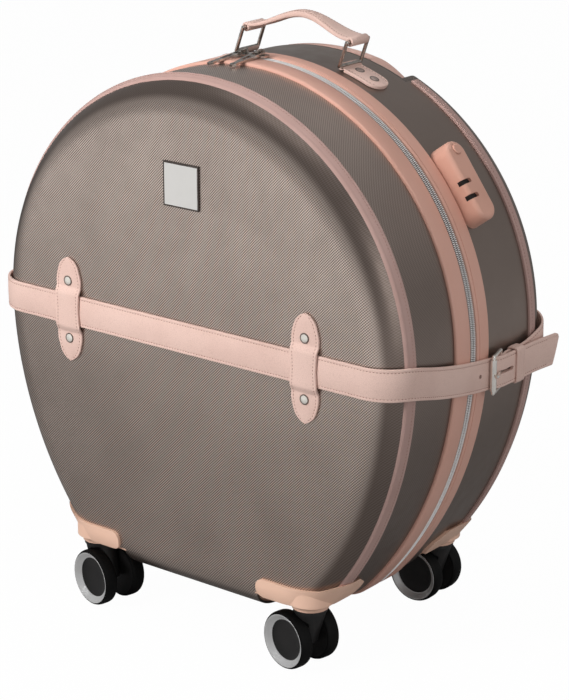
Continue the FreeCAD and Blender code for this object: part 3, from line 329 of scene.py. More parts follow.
# A tray with a rounded shoulder, open at the zip; `side` is -1 for the front half and 1 for the rear
def tray(name, side, d, wall, face_y, shoulder, finish, rim=5.0):
    bend_y = face_y - shoulder
    outer = [(y, d) for y in steps(rim, bend_y, 8.0)[:-1]]
    outer += [(bend_y + shoulder * sin(t), d - shoulder + shoulder * cos(t))
              for t in steps(0.0, pi / 2.0, pi / 40.0)]
    inner_bend = shoulder - wall
    inner = [(bend_y + inner_bend * sin(t), d - shoulder + inner_bend * cos(t))
             for t in steps(pi / 2.0, 0.0, pi / 20.0)]
    profile = outer + inner + [(rim, d - wall)]
    runs = steps(-HALF_RUN, HALF_RUN, 5.0)[:-1]
    m, n = len(profile), len(runs)
    points, uv = sweep(runs, [(side * y, offset) for y, offset in profile])
    faces = [face for k, face in enumerate(skin(n, m, True)) if k % m != len(outer) - 1]
    for j in (len(outer) - 1, len(outer)):
        faces.append(tuple(i * m + j for i in range(n)))
    made = make_piece(name, points, faces, finish, uv)
    layer = made.data.uv_layers[0].data
    for polygon in made.data.polygons:
        if abs(polygon.normal.y) > 0.35:
            for k in polygon.loop_indices:
                spot = made.data.vertices[made.data.loops[k].vertex_index].co
                layer[k].uv = (spot.x, spot.z)
    return made


SHELL_DROP = -3.0
SHELL_WALL = 2.5
FRONT_FACE = 118.0
FRONT_SHOULDER = 34.0
FRONT_SWIVEL = (130.5, -96.0)
WELL_RADIUS = 52.0
WELL_TOP = 66.5
BELOW_CASE = 20.0


# Cutting drums of both wheel wells of one half, each with a second drum on the same axis
def wheel_wells(swivel, radius, top, seat_radius, seat_low, seat_top):
    drums = []
    for x in (-swivel[0], swivel[0]):
        drums.append(upright_drum(radius, x, swivel[1], BELOW_CASE, top))
        drums.append(upright_drum(seat_radius, x, swivel[1], seat_low, seat_top))
    return drums


def shell_wells(swivel):
    return wheel_wells(swivel, WELL_RADIUS, WELL_TOP, WELL_RADIUS + 2.0, WELL_TOP - 0.5, WELL_TOP + 2.0)


shell_finish = CaseFinish("shell_taupe", (146, 132, 124), 0.36, metal=0.9)
WEAVE_PITCH = 0.0026
WEAVE_TURN = 2.0 * pi / WEAVE_PITCH
weave_u = shell_finish.along("X", "UV")
weave_v = shell_finish.along("Y", "UV")
weave_rise = shell_finish.wave(shell_finish.sum("SUBTRACT", weave_u, weave_v), WEAVE_TURN)
weave_fall = shell_finish.wave(shell_finish.sum("ADD", weave_u, weave_v), WEAVE_TURN)
weave = shell_finish.sum("ADD", weave_rise, shell_finish.sum("MULTIPLY", weave_fall, 0.6))
shell_depth = shell_finish.sum("ABSOLUTE", shell_finish.along("Y"))
face_share = shell_finish.ramp(shell_depth, 0.1100, 0.1175)
lid_share = shell_finish.ramp(shell_finish.along("Y"), -0.030, -0.020, 1.0, 0.0)
# Painted light: the upper part of the lid's side wall, outside the shoulder, is painted paler.
painted_top_light = shell_finish.sum("MULTIPLY", shell_finish.ramp(shell_depth, 0.088, 0.100, 1.0, 0.0),
                               shell_finish.ramp(shell_finish.along("Z"), 0.34, 0.52))
painted_top_light = shell_finish.sum("MULTIPLY", lid_share, painted_top_light)
shell_finish.emboss(shell_finish.sum("MULTIPLY", weave, face_share), 0.00003, 0.8)
shell_finish.grit(11.0, 2.0, 0.0006, 0.06)
shell_finish.tint(shell_finish.sum("MULTIPLY", painted_top_light, 0.9), (206, 188, 178))
# Painted shade: from the shoulder inwards the colour is painted darker.
shell_finish.tint(shell_finish.ramp(shell_depth, 0.092, 0.102, 0.0, 0.3), (92, 81, 75))
# Painted light: the flat face is painted paler than the walls of the same moulding.
shell_finish.tint(face_share, (234, 216, 205))
# Painted shade in the weave's grooves: strongest on the face, fainter on the lid's wall, faintest on the rear
# half.
weave_groove_shade = shell_finish.ramp(weave, -0.9, 0.9, 0.9, 0.0)
groove_shade_share = shell_finish.sum("MAXIMUM", face_share, shell_finish.ramp(lid_share, 0.0, 1.0, 0.1, 0.6))
shell_finish.tint(shell_finish.sum("MULTIPLY", weave_groove_shade, groove_shade_share), (90, 78, 72))
shell_finish.mottle(15.0, 5.0, 0.35, 0.75, 0.15, (108, 96, 90))
shell_finish.sheen(70.0, 3.0, 0.33, 0.40)
front_shell = tray("front_shell_skin", -1.0, SHELL_DROP, SHELL_WALL, FRONT_FACE, FRONT_SHOULDER, shell_finish)
cut_away(front_shell, shell_wells(FRONT_SWIVEL))
stands_for(front_shell, "front_half", "shell", "front_shell")


# Rear shell: the same moulding turned round, fixed to the trolley frame. A notch in its top edge
# takes the cup of the trolley handle.
def swept_bar(name, profile, start, end, finish, crease=40.0, pitch=5.0):
    runs = steps(start, end, pitch)
    whole = abs(end - start - 2.0 * HALF_RUN) < 1e-6
    runs = runs[:-1] if whole else runs
    points, uv = sweep(runs, profile)
    return make_piece(name, points, skin(len(runs), len(profile), whole), finish, uv, crease)


REAR_SWIVEL = (134.0, 104.0)
REAR_FACE = 124.0
REAR_SHOULDER = 21.0
NOTCH_RUN = TOP_RADIUS * radians(24.5)
NOTCH_Y = 88.0
rear_shell = tray("rear_shell_skin", 1.0, SHELL_DROP, SHELL_WALL, REAR_FACE, REAR_SHOULDER, shell_finish)


def notch_block(y, d, end):
    return swept_bar("notch_block", [(y, d), (140, d), (140, 22), (y, 22)], -end, end, None)


cut_away(rear_shell, shell_wells(REAR_SWIVEL) + [notch_block(NOTCH_Y, -26.0, NOTCH_RUN)])
stands_for(rear_shell, "rear_half", "shell", "rear_shell")

# Linings: thin woven cloth glued inside each half. The rear one stands off the back wall as a flat panel,
# because the trolley tubes run behind it. A cloth spine inside the left wall joins the halves.
lining_finish = CaseFinish("lining_cloth", (172, 154, 142), 0.85)
THREAD_PITCH = 0.0012
THREAD_TURN = 2.0 * pi / THREAD_PITCH
warp = lining_finish.wave(lining_finish.along("X", "UV"), THREAD_TURN)
weft = lining_finish.wave(lining_finish.along("Y", "UV"), THREAD_TURN)
lining_finish.emboss(lining_finish.sum("MULTIPLY", warp, weft), 0.00015, 0.7)
lining_finish.mottle(8.0, 3.0, 0.35, 0.7, 0.3, (142, 124, 112))
WELL_ROOM = 2.5
STEM_HOLE = (9.2, 19.0, 79.0)


def lining_wells(swivel):
    return wheel_wells(swivel, WELL_RADIUS + WELL_ROOM, WELL_TOP + WELL_ROOM, *STEM_HOLE)


LINING_DROP = -7.0
LINING_WALL = 1.0
front_lining = tray("front_lining_cloth", -1.0, LINING_DROP, LINING_WALL, 114.6, 30.0, lining_finish)
cut_away(front_lining, lining_wells(FRONT_SWIVEL))
stands_for(front_lining, "front_half", "lining", "front_lining")
rear_lining = tray("rear_lining_cloth", 1.0, LINING_DROP, LINING_WALL, 95.0, 22.0, lining_finish)
cut_away(rear_lining, lining_wells(REAR_SWIVEL) + [notch_block(NOTCH_Y - 1.0, -27.0, NOTCH_RUN + 2.1)])
stands_for(rear_lining, "rear_half", "lining", "rear_lining")
SPINE_HALF = 26.0
SPINE_REACH = 112.0
spine_profile = [(y, -8.5) for y in steps(-SPINE_HALF, SPINE_HALF, 2.0)]
spine_profile += [(y, -9.4) for y in steps(SPINE_HALF, -SPINE_HALF, 2.0)]
spine_low, spine_high = -TOP_RUN - SPINE_REACH, -TOP_RUN + SPINE_REACH
spine = swept_bar("hinge_spine_cloth", spine_profile, spine_low, spine_high, lining_finish)
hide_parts("hinge_tape")
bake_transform(spine)


# Zip bands: raised mouldings of peach plastic that clamp the zip tape to each rim.
# Each has a rolled outer edge, and the rear one a shallow sewing groove beside the chain.
def moulded(name, colour, rough, patch_scale, patch_share, patch_colour):
    finish = CaseFinish(name, colour, rough)
    finish.mottle(patch_scale, 4.0, 0.35, 0.75, patch_share, patch_colour)
    finish.grit(900.0, 2.0, 0.00004, 0.5)
    return finish


moulding_finish = moulded("moulding_peach", (222, 172, 155), 0.46, 13.0, 0.3, (206, 150, 129))
moulding_finish.sheen(45.0, 3.0, 0.40, 0.54)
EDGE_ROLL = 2.2


def band_profile(side, edge, grooved):
    shape = [(5.0, -3.0), (5.0, -0.9), (5.3, -0.35), (6.0, 0.0)]
    if grooved:
        shape += [(8.2, 0.0), (8.7, -0.7), (9.3, -0.7), (9.8, 0.0)]
    shape += [(edge - EDGE_ROLL + EDGE_ROLL * sin(t), -EDGE_ROLL + EDGE_ROLL * cos(t))
              for t in steps(0.0, pi / 2.0, pi / 10.0)]
    shape.append((edge, -3.0))
    return [(side * y, d) for y, d in shape]


for half, side, edge in (("front", -1.0, 27.0), ("rear", 1.0, 25.0)):
    band_shape = band_profile(side, edge, half == "rear")
    band = swept_bar(half + "_zip_moulding", band_shape, -HALF_RUN, HALF_RUN, moulding_finish)
    stands_for(band, half + "_half", "moulding", half + "_zip_band")


# Zip chain: a woven tape on each rim and, along its edge, a row of bright coil teeth that mesh
# with the other half's. The teeth are set out by nodes along the tape.
def unit_tree(name, sizes, unit_nodes, pitched):
    tree = bpy.data.node_groups.new(name, "GeometryNodeTree")
    labels = list(dict.fromkeys(sizes)) + (["Pitch"] if pitched else [])
    inputs = [("Places", "Geometry")] + [(label, "Float") for label in labels] + [("Finish", "Material")]
    for label, kind in inputs:
        tree.interface.new_socket(label, in_out="INPUT", socket_type="NodeSocket" + kind)
    tree.interface.new_socket("Pieces", in_out="OUTPUT", socket_type="NodeSocketGeometry")
    link = tree.links.new

    def add(kind, values=None, **settings):
        return add_node(tree, kind, values, **settings)

    entry, leave = add("NodeGroupInput"), add("NodeGroupOutput")
    outward = add("GeometryNodeInputNamedAttribute", {"Name": "outward"}, data_type="FLOAT_VECTOR")
    stand = add("FunctionNodeAlignRotationToVector", axis="Z")
    link(outward.outputs["Attribute"], stand.inputs["Vector"])
    if pitched:
        curve = add("GeometryNodeMeshToCurve")
        places = add("GeometryNodeResampleCurve", mode="LENGTH")
        lie = add("FunctionNodeAlignRotationToVector", axis="X")
        stand.pivot_axis = "X"
        link(entry.outputs["Places"], curve.inputs["Mesh"])
        link(curve.outputs["Curve"], places.inputs["Curve"])
        link(entry.outputs["Pitch"], places.inputs["Length"])
        link(add("GeometryNodeInputTangent").outputs[0], lie.inputs["Vector"])
        link(lie.outputs[0], stand.inputs["Rotation"])
    else:
        places = add("GeometryNodeMeshToPoints")
        link(entry.outputs["Places"], places.inputs["Mesh"])
    size = add("ShaderNodeCombineXYZ")
    for label, axis in zip(sizes, "XYZ"):
        link(entry.outputs[label], size.inputs[axis])
    placed = add("GeometryNodeInstanceOnPoints")
    smoothed = add("GeometryNodeSetShadeSmooth")
    real = add("GeometryNodeRealizeInstances")
    painted = add("GeometryNodeSetMaterial")
    link(places.outputs[0], placed.inputs["Points"])
    link(unit_nodes(add, link), placed.inputs["Instance"])
    link(stand.outputs[0], placed.inputs["Rotation"])
    link(size.outputs[0], placed.inputs["Scale"])
    for source, target in ((placed, smoothed), (smoothed, real), (real, painted)):
        link(source.outputs[0], target.inputs["Geometry"])
    link(entry.outputs["Finish"], painted.inputs["Material"])
    link(painted.outputs[0], leave.inputs["Pieces"])
    return tree


# One mesh of like units on (point, outward) places, with the tree's inputs in millimetres
def set_units(name, tree, places, edges, values, finish):
    mesh = bpy.data.meshes.new(name)
    mesh.from_pydata([0.001 * point for point, out in places], edges, [])
    outward = mesh.attributes.new("outward", "FLOAT_VECTOR", "POINT")
    outward.data.foreach_set("vector", [c for point, out in places for c in out])
    made = put(name, mesh)
    units = made.modifiers.new("units", "NODES")
    units.node_group = tree
    for socket in tree.interface.items_tree:
        if socket.in_out == "INPUT" and socket.name in values:
            units[socket.identifier] = 0.001 * values[socket.name]
        elif socket.name == "Finish":
            units[socket.identifier] = finish.material
    keep_result(made)
    return made


def bead_unit(add, link):
    return add("GeometryNodeMeshUVSphere", {"Segments": 8, "Rings": 5, "Radius": 0.5}).outputs["Mesh"]


bead_row = unit_tree("bead_row", ("Length", "Width", "Height"), bead_unit, True)


# Rows of rounded units along lines of (point, outward) pairs, joined into one mesh
def lay_row(name, lines, pitch, size, finish, closed=False):
    places, edges = [], []
    for line in lines:
        first = len(places)
        places += line
        edges += [(first + i, first + i + 1) for i in range(len(line) - 1)]
        if closed:
            edges.append((first + len(line) - 1, first))
    values = dict(zip(("Pitch", "Length", "Width", "Height"), (pitch, *size)))
    return set_units(name, bead_row, places, edges, values, finish)


def case_row(runs, y, d):
    return [(on_case(run, y, d), on_case(run, y, d + 1.0) - on_case(run, y, d)) for run in runs]


tape_finish = CaseFinish("zip_tape_grey", (104, 93, 89), 0.8)
TAPE_RIB_TURN = 7000.0
tape_finish.emboss(tape_finish.wave(tape_finish.along("X", "UV"), TAPE_RIB_TURN), 0.0002)
tape_finish.mottle(300.0, 3.0, 0.3, 0.7, 0.4, (96, 84, 79))
chain_finish = CaseFinish("zip_chain_silver", (252, 250, 249), 0.34, metal=0.15)
chain_finish.mottle(700.0, 3.0, 0.3, 0.75, 0.3, (214, 210, 208))
chain_finish.sheen(240.0, 3.0, 0.28, 0.42)
TOOTH = (1.15, 4.1, 1.7)
TOOTH_PITCH = 1.7
TOOTH_Y = 2.05
TAPE = ((0.15, -5.6), (0.15, -2.4), (4.6, -2.4), (4.6, -5.6), (16.0, -5.6), (16.0, -6.8), (0.15, -6.8))
for side, half, shift in ((-1.0, "front", 0.0), (1.0, "rear", TOOTH_PITCH / 2.0)):
    tape_profile = [(side * y, d) for y, d in TAPE]
    tape = swept_bar(half + "_zip_tape_cloth", tape_profile, -HALF_RUN, HALF_RUN, tape_finish)
    stands_for(tape, half + "_half", "zip", half + "_zip_tape")
    tooth_runs = [run + shift for run in steps(-HALF_RUN, HALF_RUN, 4.0)[:-1]]
    tooth_line = case_row(tooth_runs, side * TOOTH_Y, -1.1)
    teeth = lay_row(half + "_zip_teeth", [tooth_line], TOOTH_PITCH, TOOTH, chain_finish, closed=True)
    stands_for(teeth, half + "_half", "zip")

# Piping: a padded leather strip glued along each shoulder and sewn with a row of stitches.
# Its front edge is rolled under. It stops at the casters, and at the trolley cup behind.
leather_finish = CaseFinish("leather_pink", (230, 198, 186), 0.52)
leather_finish.emboss(leather_finish.grain(620.0), 0.00010, 0.5)
leather_finish.grit(120.0, 4.0, 0.00018, 0.35)
leather_finish.mottle(22.0, 4.0, 0.35, 0.75, 0.35, (208, 172, 160))
leather_finish.tint(leather_finish.ramp(leather_finish.grain(620.0), 0.0, 0.12, 0.25, 0.0), (178, 140, 128))
leather_finish.sheen(60.0, 3.0, 0.44, 0.60)
piping_finish = CaseFinish("piping_rose", (186, 153, 145), 0.55)
piping_finish.mottle(22.0, 4.0, 0.35, 0.75, 0.35, (168, 133, 124))
piping_finish.sheen(90.0, 3.0, 0.48, 0.62)
thread_finish = CaseFinish("thread_rose", (160, 112, 101), 0.7)
thread_finish.grit(1800.0, 2.0, 0.0001, 0.6)
thread_finish.mottle(260.0, 3.0, 0.35, 0.7, 0.5, (138, 92, 83))
pale_thread_finish = CaseFinish("thread_dusty", (168, 131, 122), 0.7)
pale_thread_finish.mottle(260.0, 3.0, 0.35, 0.7, 0.5, (154, 117, 108))
PIPING_END = 612.0
PIPING_GAP = TOP_RADIUS * radians(25.1)
FRONT_PIPING = ((98.5, -6.9), (98.2, -5.9), (97.4, -4.5), (96.4, -3.6), (95.5, -3.15),
                (95.0, -3.1), (94.4, -2.7), (89.6, -1.0), (88.8, -0.65), (88.2, -0.65),
                (87.7, -1.1), (87.6, -1.8), (87.6, -3.6), (93.0, -4.6))
FRONT_SEAM = (91.0, -1.42)
REAR_PIPING = ((104.4, -3.6), (104.2, -2.5), (103.6, -1.65), (102.8, -1.15), (102.0, -0.95), (101.5, -1.1),
               (101.0, -0.85), (95.2, -0.62), (94.4, -0.65), (93.9, -0.95), (93.7, -1.6), (93.7, -3.6))
REAR_SEAM = (97.0, -0.62)
STITCH = (1.8, 0.6, 0.5)
STITCH_PITCH = 3.2


def sew(name, seams, body, finish):
    stands_for(lay_row(name, seams, STITCH_PITCH, STITCH, finish), body, "leather")


PIPING_STRIPS = (
    ("front_piping", -1.0, FRONT_PIPING, FRONT_SEAM, -PIPING_END, PIPING_END),
    ("rear_piping_right", 1.0, REAR_PIPING, REAR_SEAM, PIPING_GAP, PIPING_END),
    ("rear_piping_left", 1.0, REAR_PIPING, REAR_SEAM, -PIPING_END, -PIPING_GAP),
)
for node, side, shape, seam_at, start, end in PIPING_STRIPS:
    strip_name = node.replace("piping", "piping_strip")
    body = "front_half" if side < 0.0 else "rear_half"
    strip = swept_bar(strip_name, [(side * y, d) for y, d in shape], start, end, piping_finish, 55.0, 4.0)
    stands_for(strip, body, "leather", node)
    seam = case_row(steps(start + 2.0, end - 2.0, 4.0), side * seam_at[0], seam_at[1])
    sew(strip_name + "_stitches", [seam], body, pale_thread_finish)

# Belt, front half: a doubled leather strap round the lid, sewn along both edges. On the right it droops to
# the buckle's level, runs through the buckle and the keeper, and ends in a clipped tip.
BELT_Z = 301.0
BUCKLE_Z = 279.5
BELT_X = 241.4
BELT_HALF = 15.0
BELT_THICK = 2.6
FRONT_BEND = 37.2
FRONT_BEND_X = BELT_X - FRONT_BEND
FRONT_BEND_Y = -81.1
FACE_BELT_Y = -118.3
SEAM_INSET = 2.9
SHOULDER_DROOP = 3.0
DROOP_RUN = 22.5
UP = Vector((0, 0, 1))
ACROSS = Vector((0, 1, 0))


# A strap along stations of (middle point, across, outward, half width); its outer face is crowned
# and dips along the two sewn seams
def make_strap(name, stations, thick, finish, closed=False, crown=0.25):
    points, uv = [], []
    run = lengths([station[0] for station in stations])
    for distance, (middle, across, outward, half) in zip(run, stations):
        inset = min(SEAM_INSET, 0.45 * half)
        edge = min(0.8, 0.3 * half)
        low, high = -thick / 2.0, thick / 2.0
        side = [(half - 0.35, low), (half, low + 0.4), (half, high - 0.8),
                (half - 0.25 * edge, high - 0.25), (half - edge, high), (half - inset + 0.8 * edge, high),
                (half - inset, high - 0.18), (half - inset - 0.8 * edge, high + 0.04)]
        section = side + [(0.0, high + crown)] + [(-a, b) for a, b in reversed(side)]
        points += [middle + across * a + outward * b for a, b in section]
        uv += [(distance, a) for a, b in section]
    return make_piece(name, points, skin(len(stations), len(points) // len(stations), closed), finish, uv, 50.0)


def strap_seams(stations, thick, first=0, last=None):
    seams = []
    for sign in (-1.0, 1.0):
        seam = []
        for middle, across, outward, half in stations[first:last]:
            inset = min(SEAM_INSET, 0.45 * half)
            seam.append((middle + across * sign * (half - inset) + outward * (thick / 2.0 - 0.05), outward))
        seams.append(seam)
    return seams


# The belt's middle level on the right side wall, where it droops to the buckle
def droop(y):
    run = y - FRONT_BEND_Y
    level = BELT_Z - SHOULDER_DROOP - 0.2667 * run + 0.000843 * run * run
    above = level - BUCKLE_Z
    return BUCKLE_Z + 0.5 * above + 0.5 * hypot(above, 0.5) if y < 60.0 else BUCKLE_Z


# The same round the right front shoulder, `t` from 270 to 360 degrees
def bend_droop(t):
    into = max(0.0, FRONT_BEND * (t - 2.0 * pi) + DROOP_RUN)
    return BELT_Z - SHOULDER_DROOP * (into / DROOP_RUN) ** 2


def smooth(share):
    share = min(1.0, max(0.0, share))
    return share * share * (3.0 - 2.0 * share)


# How far the tail stands off: flat under the roller, over the hinge bar and the keeper, then springing away
def tail_lift(y):
    return 5.2 * smooth((y - 15.0) / 23.0) + 3.2 * smooth((y - 84.0) / 50.0)


def belt_station(x, y, z, out_x, out_y):
    outward = Vector((out_x, out_y, 0.0)).normalized()
    return Vector((x, y, z)) + outward * (BELT_THICK / 2.0), UP, outward, BELT_HALF


def turns(start, end, pitch):
    return steps(radians(start), radians(end), radians(pitch))


def belt_bend(centre_x, centre_y, radius, start, end, level):
    made = []
    for t in turns(start, end, 5.0):
        x, y = cos(t), sin(t)
        made.append(belt_station(centre_x + radius * x, centre_y + radius * y, level(t), x, y))
    return made


belt_line = [belt_station(-BELT_X, -y, BELT_Z, -1, 0) for y in steps(0.15, -FRONT_BEND_Y, 6.0)[:-1]]
belt_line += belt_bend(-FRONT_BEND_X, FRONT_BEND_Y, FRONT_BEND, 180, 270, lambda t: BELT_Z)
belt_line += [belt_station(x, FACE_BELT_Y, BELT_Z, 0, -1) for x in steps(-FRONT_BEND_X, FRONT_BEND_X, 8.0)[1:-1]]
belt_line += belt_bend(FRONT_BEND_X, FRONT_BEND_Y, FRONT_BEND, 270, 360, bend_droop)
for y in steps(FRONT_BEND_Y, 128.0, 2.5)[1:]:
    rise = tail_lift(y + 0.5) - tail_lift(y - 0.5)
    belt_line.append(belt_station(BELT_X + tail_lift(y), y, droop(y), 1, -rise))
front_belt = make_strap("front_belt_leather", belt_line, BELT_THICK, leather_finish)


# Cutters through the side wall, from outlines of (y, z) points
def side_knife(outline):
    points = [(x, y, z) for x in (230.0, 264.0) for y, z in outline]
    return make_piece("knife", points, skin(2, len(outline)), None)


def round_corner(y, z, radius, start, end):
    return [(y + radius * cos(t), z + radius * sin(t)) for t in turns(start, end, 9.0)]


def side_hole(radius, y, z, stretch=0.0):
    far_end = round_corner(y + stretch, z, radius, -90, 90)
    return side_knife(far_end + round_corner(y - stretch, z, radius, 90, 270))


PUNCHED_Y = 4.8
PRONG_SLOT_Y = 39.9
TIP_TOP = (119.6, BUCKLE_Z + 10.8)
TIP_FOOT = (113.0, BUCKLE_Z - 11.5)
tip = round_corner(*TIP_FOOT, 3.6, -90, -15) + round_corner(*TIP_TOP, 4.3, -15, 90)
tip += [(100.0, BUCKLE_Z + 24.0), (150.0, BUCKLE_Z + 24.0), (150.0, BUCKLE_Z - 24.0), (100.0, BUCKLE_Z - 24.0)]
tip.insert(0, (100.0, BUCKLE_Z - 15.1))
tip.insert(-4, (100.0, BUCKLE_Z + 15.1))
prong_slot = side_hole(1.8, PRONG_SLOT_Y, BUCKLE_Z, 9.6)
punches = [side_hole(2.0, PUNCHED_Y, droop(PUNCHED_Y)), prong_slot, side_knife(tip)]
cut_away(front_belt, punches)
stands_for(front_belt, "front_half", "leather", "front_belt", "belt_tail")
sewn_line = [station for station in belt_line if station[0].y < 106.0]
sew("front_belt_stitches", strap_seams(sewn_line, BELT_THICK, 1), "front_half", thread_finish)

# Belt, rear half: the same strap round the back. It drops to the buckle's level on the right shoulder,
# and its end folds round the buckle's hinge bar and is sewn down behind.
HINGE_BAR = Vector((241.7, 41.0, BUCKLE_Z))
REAR_BEND = 21.2
REAR_BEND_X = BELT_X - REAR_BEND
REAR_BEND_Y = 103.1
BACK_BELT_Y = 124.3
REAR_THICK = 2.1
CHAPE_Y = 68.0
RISE_ON_BACK = 20.0
rise_run = REAR_BEND_Y - CHAPE_Y + REAR_BEND * pi / 2.0 + RISE_ON_BACK


# The rear belt's level, `run` mm from the chape: up over the right shoulder to the level of the rest
def rear_level(run):
    return BUCKLE_Z + (BELT_Z - BUCKLE_Z) * smooth(run / rise_run)


def back_level(x):
    return rear_level(rise_run - RISE_ON_BACK + REAR_BEND_X - x)


def shoulder_level(t):
    return rear_level(REAR_BEND_Y - CHAPE_Y + REAR_BEND * t)


rear_line = [belt_station(-BELT_X, y, BELT_Z, -1, 0) for y in steps(0.15, REAR_BEND_Y, 6.0)[:-1]]
rear_line += belt_bend(-REAR_BEND_X, REAR_BEND_Y, REAR_BEND, 180, 90, lambda t: BELT_Z)
rear_line += [belt_station(x, BACK_BELT_Y, back_level(x), 0, 1)
              for x in steps(-REAR_BEND_X, REAR_BEND_X, 6.0)[1:-1]]
rear_line += belt_bend(REAR_BEND_X, REAR_BEND_Y, REAR_BEND, 90, 0, shoulder_level)
rear_line += [belt_station(BELT_X, y, rear_level(y - CHAPE_Y), 1, 0) for y in steps(REAR_BEND_Y, 48.0, 4.0)[1:]]
for t in turns(20, -215, 12):
    outward = Vector((cos(t), sin(t), 0.0))
    rear_line.append((HINGE_BAR + outward * 3.25, UP, outward, BELT_HALF))
rear_belt = make_strap("rear_belt_leather", rear_line, REAR_THICK, leather_finish)
cut_away(rear_belt, [side_hole(2.6, HINGE_BAR.y, BUCKLE_Z, 3.6)])
stands_for(rear_belt, "rear_half", "leather", "rear_belt")
sewn_line = [station for station in rear_line if station[0].x < 0.0 or station[0].y > CHAPE_Y]
sew("rear_belt_stitches", strap_seams(sewn_line, REAR_THICK, 1), "rear_half", thread_finish)

# Buckle and keeper: a nickel wire frame hinged in the strap's fold, with a loose roller on its far bar and
# a prong, and a sewn leather loop behind it that holds the tail down.
nickel_finish = CaseFinish("nickel_bright", (238, 233, 227), 0.18, metal=0.85)
nickel_finish.mottle(90.0, 4.0, 0.35, 0.75, 0.25, (204, 196, 187))
nickel_finish.sheen(130.0, 4.0, 0.14, 0.24)


def dress(finish, *names):
    for name in names:
        nodes[name].data.materials.clear()
        nodes[name].data.materials.append(finish.material)


dress(nickel_finish, "buckle_frame", "buckle_roller", "buckle_prong")
KEEPER_X = 245.3
KEEPER_Y = 61.3
KEEPER_BEND = 2.5
KEEPER_FLAT = (2.7, 13.8)
keeper_line = []
for corner, (cx, cz) in enumerate(((1, 1), (-1, 1), (-1, -1), (1, -1))):
    for t in turns(90.0 * corner, 90.0 * corner + 90.0, 15.0):
        outward = Vector((cos(t), 0.0, sin(t)))
        middle = Vector((KEEPER_X + cx * KEEPER_FLAT[0], KEEPER_Y, BUCKLE_Z + cz * KEEPER_FLAT[1]))
        keeper_line.append((middle + outward * KEEPER_BEND, ACROSS, outward, 6.5))
keeper = make_strap("keeper_leather", keeper_line, 1.8, leather_finish, closed=True)
stands_for(keeper, "rear_half", "leather", "belt_keeper")

# Loop plates: two leaf-shaped leather plates that hold the belt to the face. Each is sewn round its edge,
# lifts over the belt and is fixed with a rivet above and below it.
PLATE_X = 141.5
PLATE_TIP = 51.5
PLATE_THICK = 2.2
PLATE_Y = -118.1


def plate_half_width(rise):
    rise = abs(rise)
    if rise < 27.5:
        return 14.0 + 1.5 * (rise / 27.5) ** 0.84
    if rise < 38.2:
        return 15.5 - 2.4 * ((rise - 27.5) / 10.7) ** 1.6
    return max(0.4, sqrt(max(0.0, 17.55 ** 2 - (rise - 34.42) ** 2)) - 4.04)


def plate_level(rise):
    return PLATE_Y - 3.2 * smooth((23.0 - abs(rise)) / 8.0)


for plate_name, x in (("left", -PLATE_X), ("right", PLATE_X)):
    plate_line = []
    for rise in steps(-PLATE_TIP, PLATE_TIP, 1.0):
        slope = plate_level(rise + 0.5) - plate_level(rise - 0.5)
        outward = Vector((0.0, -1.0, slope)).normalized()
        middle = Vector((x, plate_level(rise), BELT_Z + rise)) + outward * (PLATE_THICK / 2.0)
        plate_line.append((middle, Vector((1, 0, 0)), outward, plate_half_width(rise)))
    plate = make_strap("loop_plate_leather_" + plate_name, plate_line, PLATE_THICK, leather_finish)
    stands_for(plate, "front_half", "leather", "loop_plate_" + plate_name)
    plate_seams = strap_seams(plate_line, PLATE_THICK, 4, -4)
    sew("loop_plate_stitches_" + plate_name, plate_seams, "front_half", thread_finish)


# Rivets: flat nickel caps with a domed middle, struck through the plates and the handle's tabs.
# Nodes set one cap on each point, square to the leather.
def cap_unit(add, link):
    dome = add("GeometryNodeMeshUVSphere", {"Segments": 40, "Rings": 16, "Radius": 1.0})
    inset = add("GeometryNodeTransform", {"Scale": (0.86, 0.86, 1.0)})
    rim = add("GeometryNodeMeshCylinder", {"Vertices": 40, "Radius": 1.0, "Depth": 0.9})
    edge = add("GeometryNodeStoreNamedAttribute", {"Name": "cap_edge", "Value": 1.0})
    both = add("GeometryNodeJoinGeometry")
    link(dome.outputs["Mesh"], inset.inputs["Geometry"])
    link(inset.outputs[0], both.inputs[0])
    link(rim.outputs["Mesh"], edge.inputs["Geometry"])
    link(edge.outputs[0], both.inputs[0])
    return both.outputs[0]


rivet_tree = unit_tree("rivet_caps", ("Radius", "Radius", "Height"), cap_unit, False)


def cap_finish(name, colour, worn, edge):
    finish = CaseFinish(name, colour, 0.36, metal=0.5)
    finish.mottle(300.0, 3.0, 0.35, 0.75, 0.3, worn)
    finish.sheen(200.0, 3.0, 0.36, 0.5)
    # Painted shade: the cap's rim is painted dark, as the shadowed outline round the dome.
    finish.tint(finish.node("Attribute", attribute_name="cap_edge").outputs["Fac"], edge)
    return finish


rivet_finish = cap_finish("rivet_nickel", (240, 236, 228), (222, 215, 204), (120, 106, 98))


def set_rivets(name, places, cap, finish, body, node):
    made = set_units(name, rivet_tree, places, [], dict(zip(("Radius", "Height"), cap)), finish)
    made.data.shade_smooth()
    made.data.set_sharp_from_angle(angle=radians(40.0))
    stands_for(made, body, "nickel", node)


PLATE_CAP = (4.9, 1.4)
plate_places = [(Vector((x, PLATE_Y - 2.3, BELT_Z + rise)), Vector((0, -1, 0)))
                for x in (-PLATE_X, PLATE_X) for rise in (-28.5, 28.5)]
set_rivets("plate_rivet_caps", plate_places, PLATE_CAP, rivet_finish, "front_half", "plate_rivets")

# Label: a small square plate of glossy white resin set in a thin dark metal frame, glued to the face
# above the belt. It is left bare.
label_finish = CaseFinish("label_white", (194, 192, 189), 0.35, coat=0.1)
label_finish.mottle(120.0, 3.0, 0.4, 0.8, 0.15, (184, 182, 179))
label_finish.grit(60.0, 3.0, 0.0001, 0.2)
dress(label_finish, "label_plate")
frame_finish = CaseFinish("label_frame_dark", (74, 66, 62), 0.35, metal=0.6)
frame_finish.mottle(220.0, 3.0, 0.4, 0.8, 0.4, (110, 100, 95))
dress(frame_finish, "label_frame")

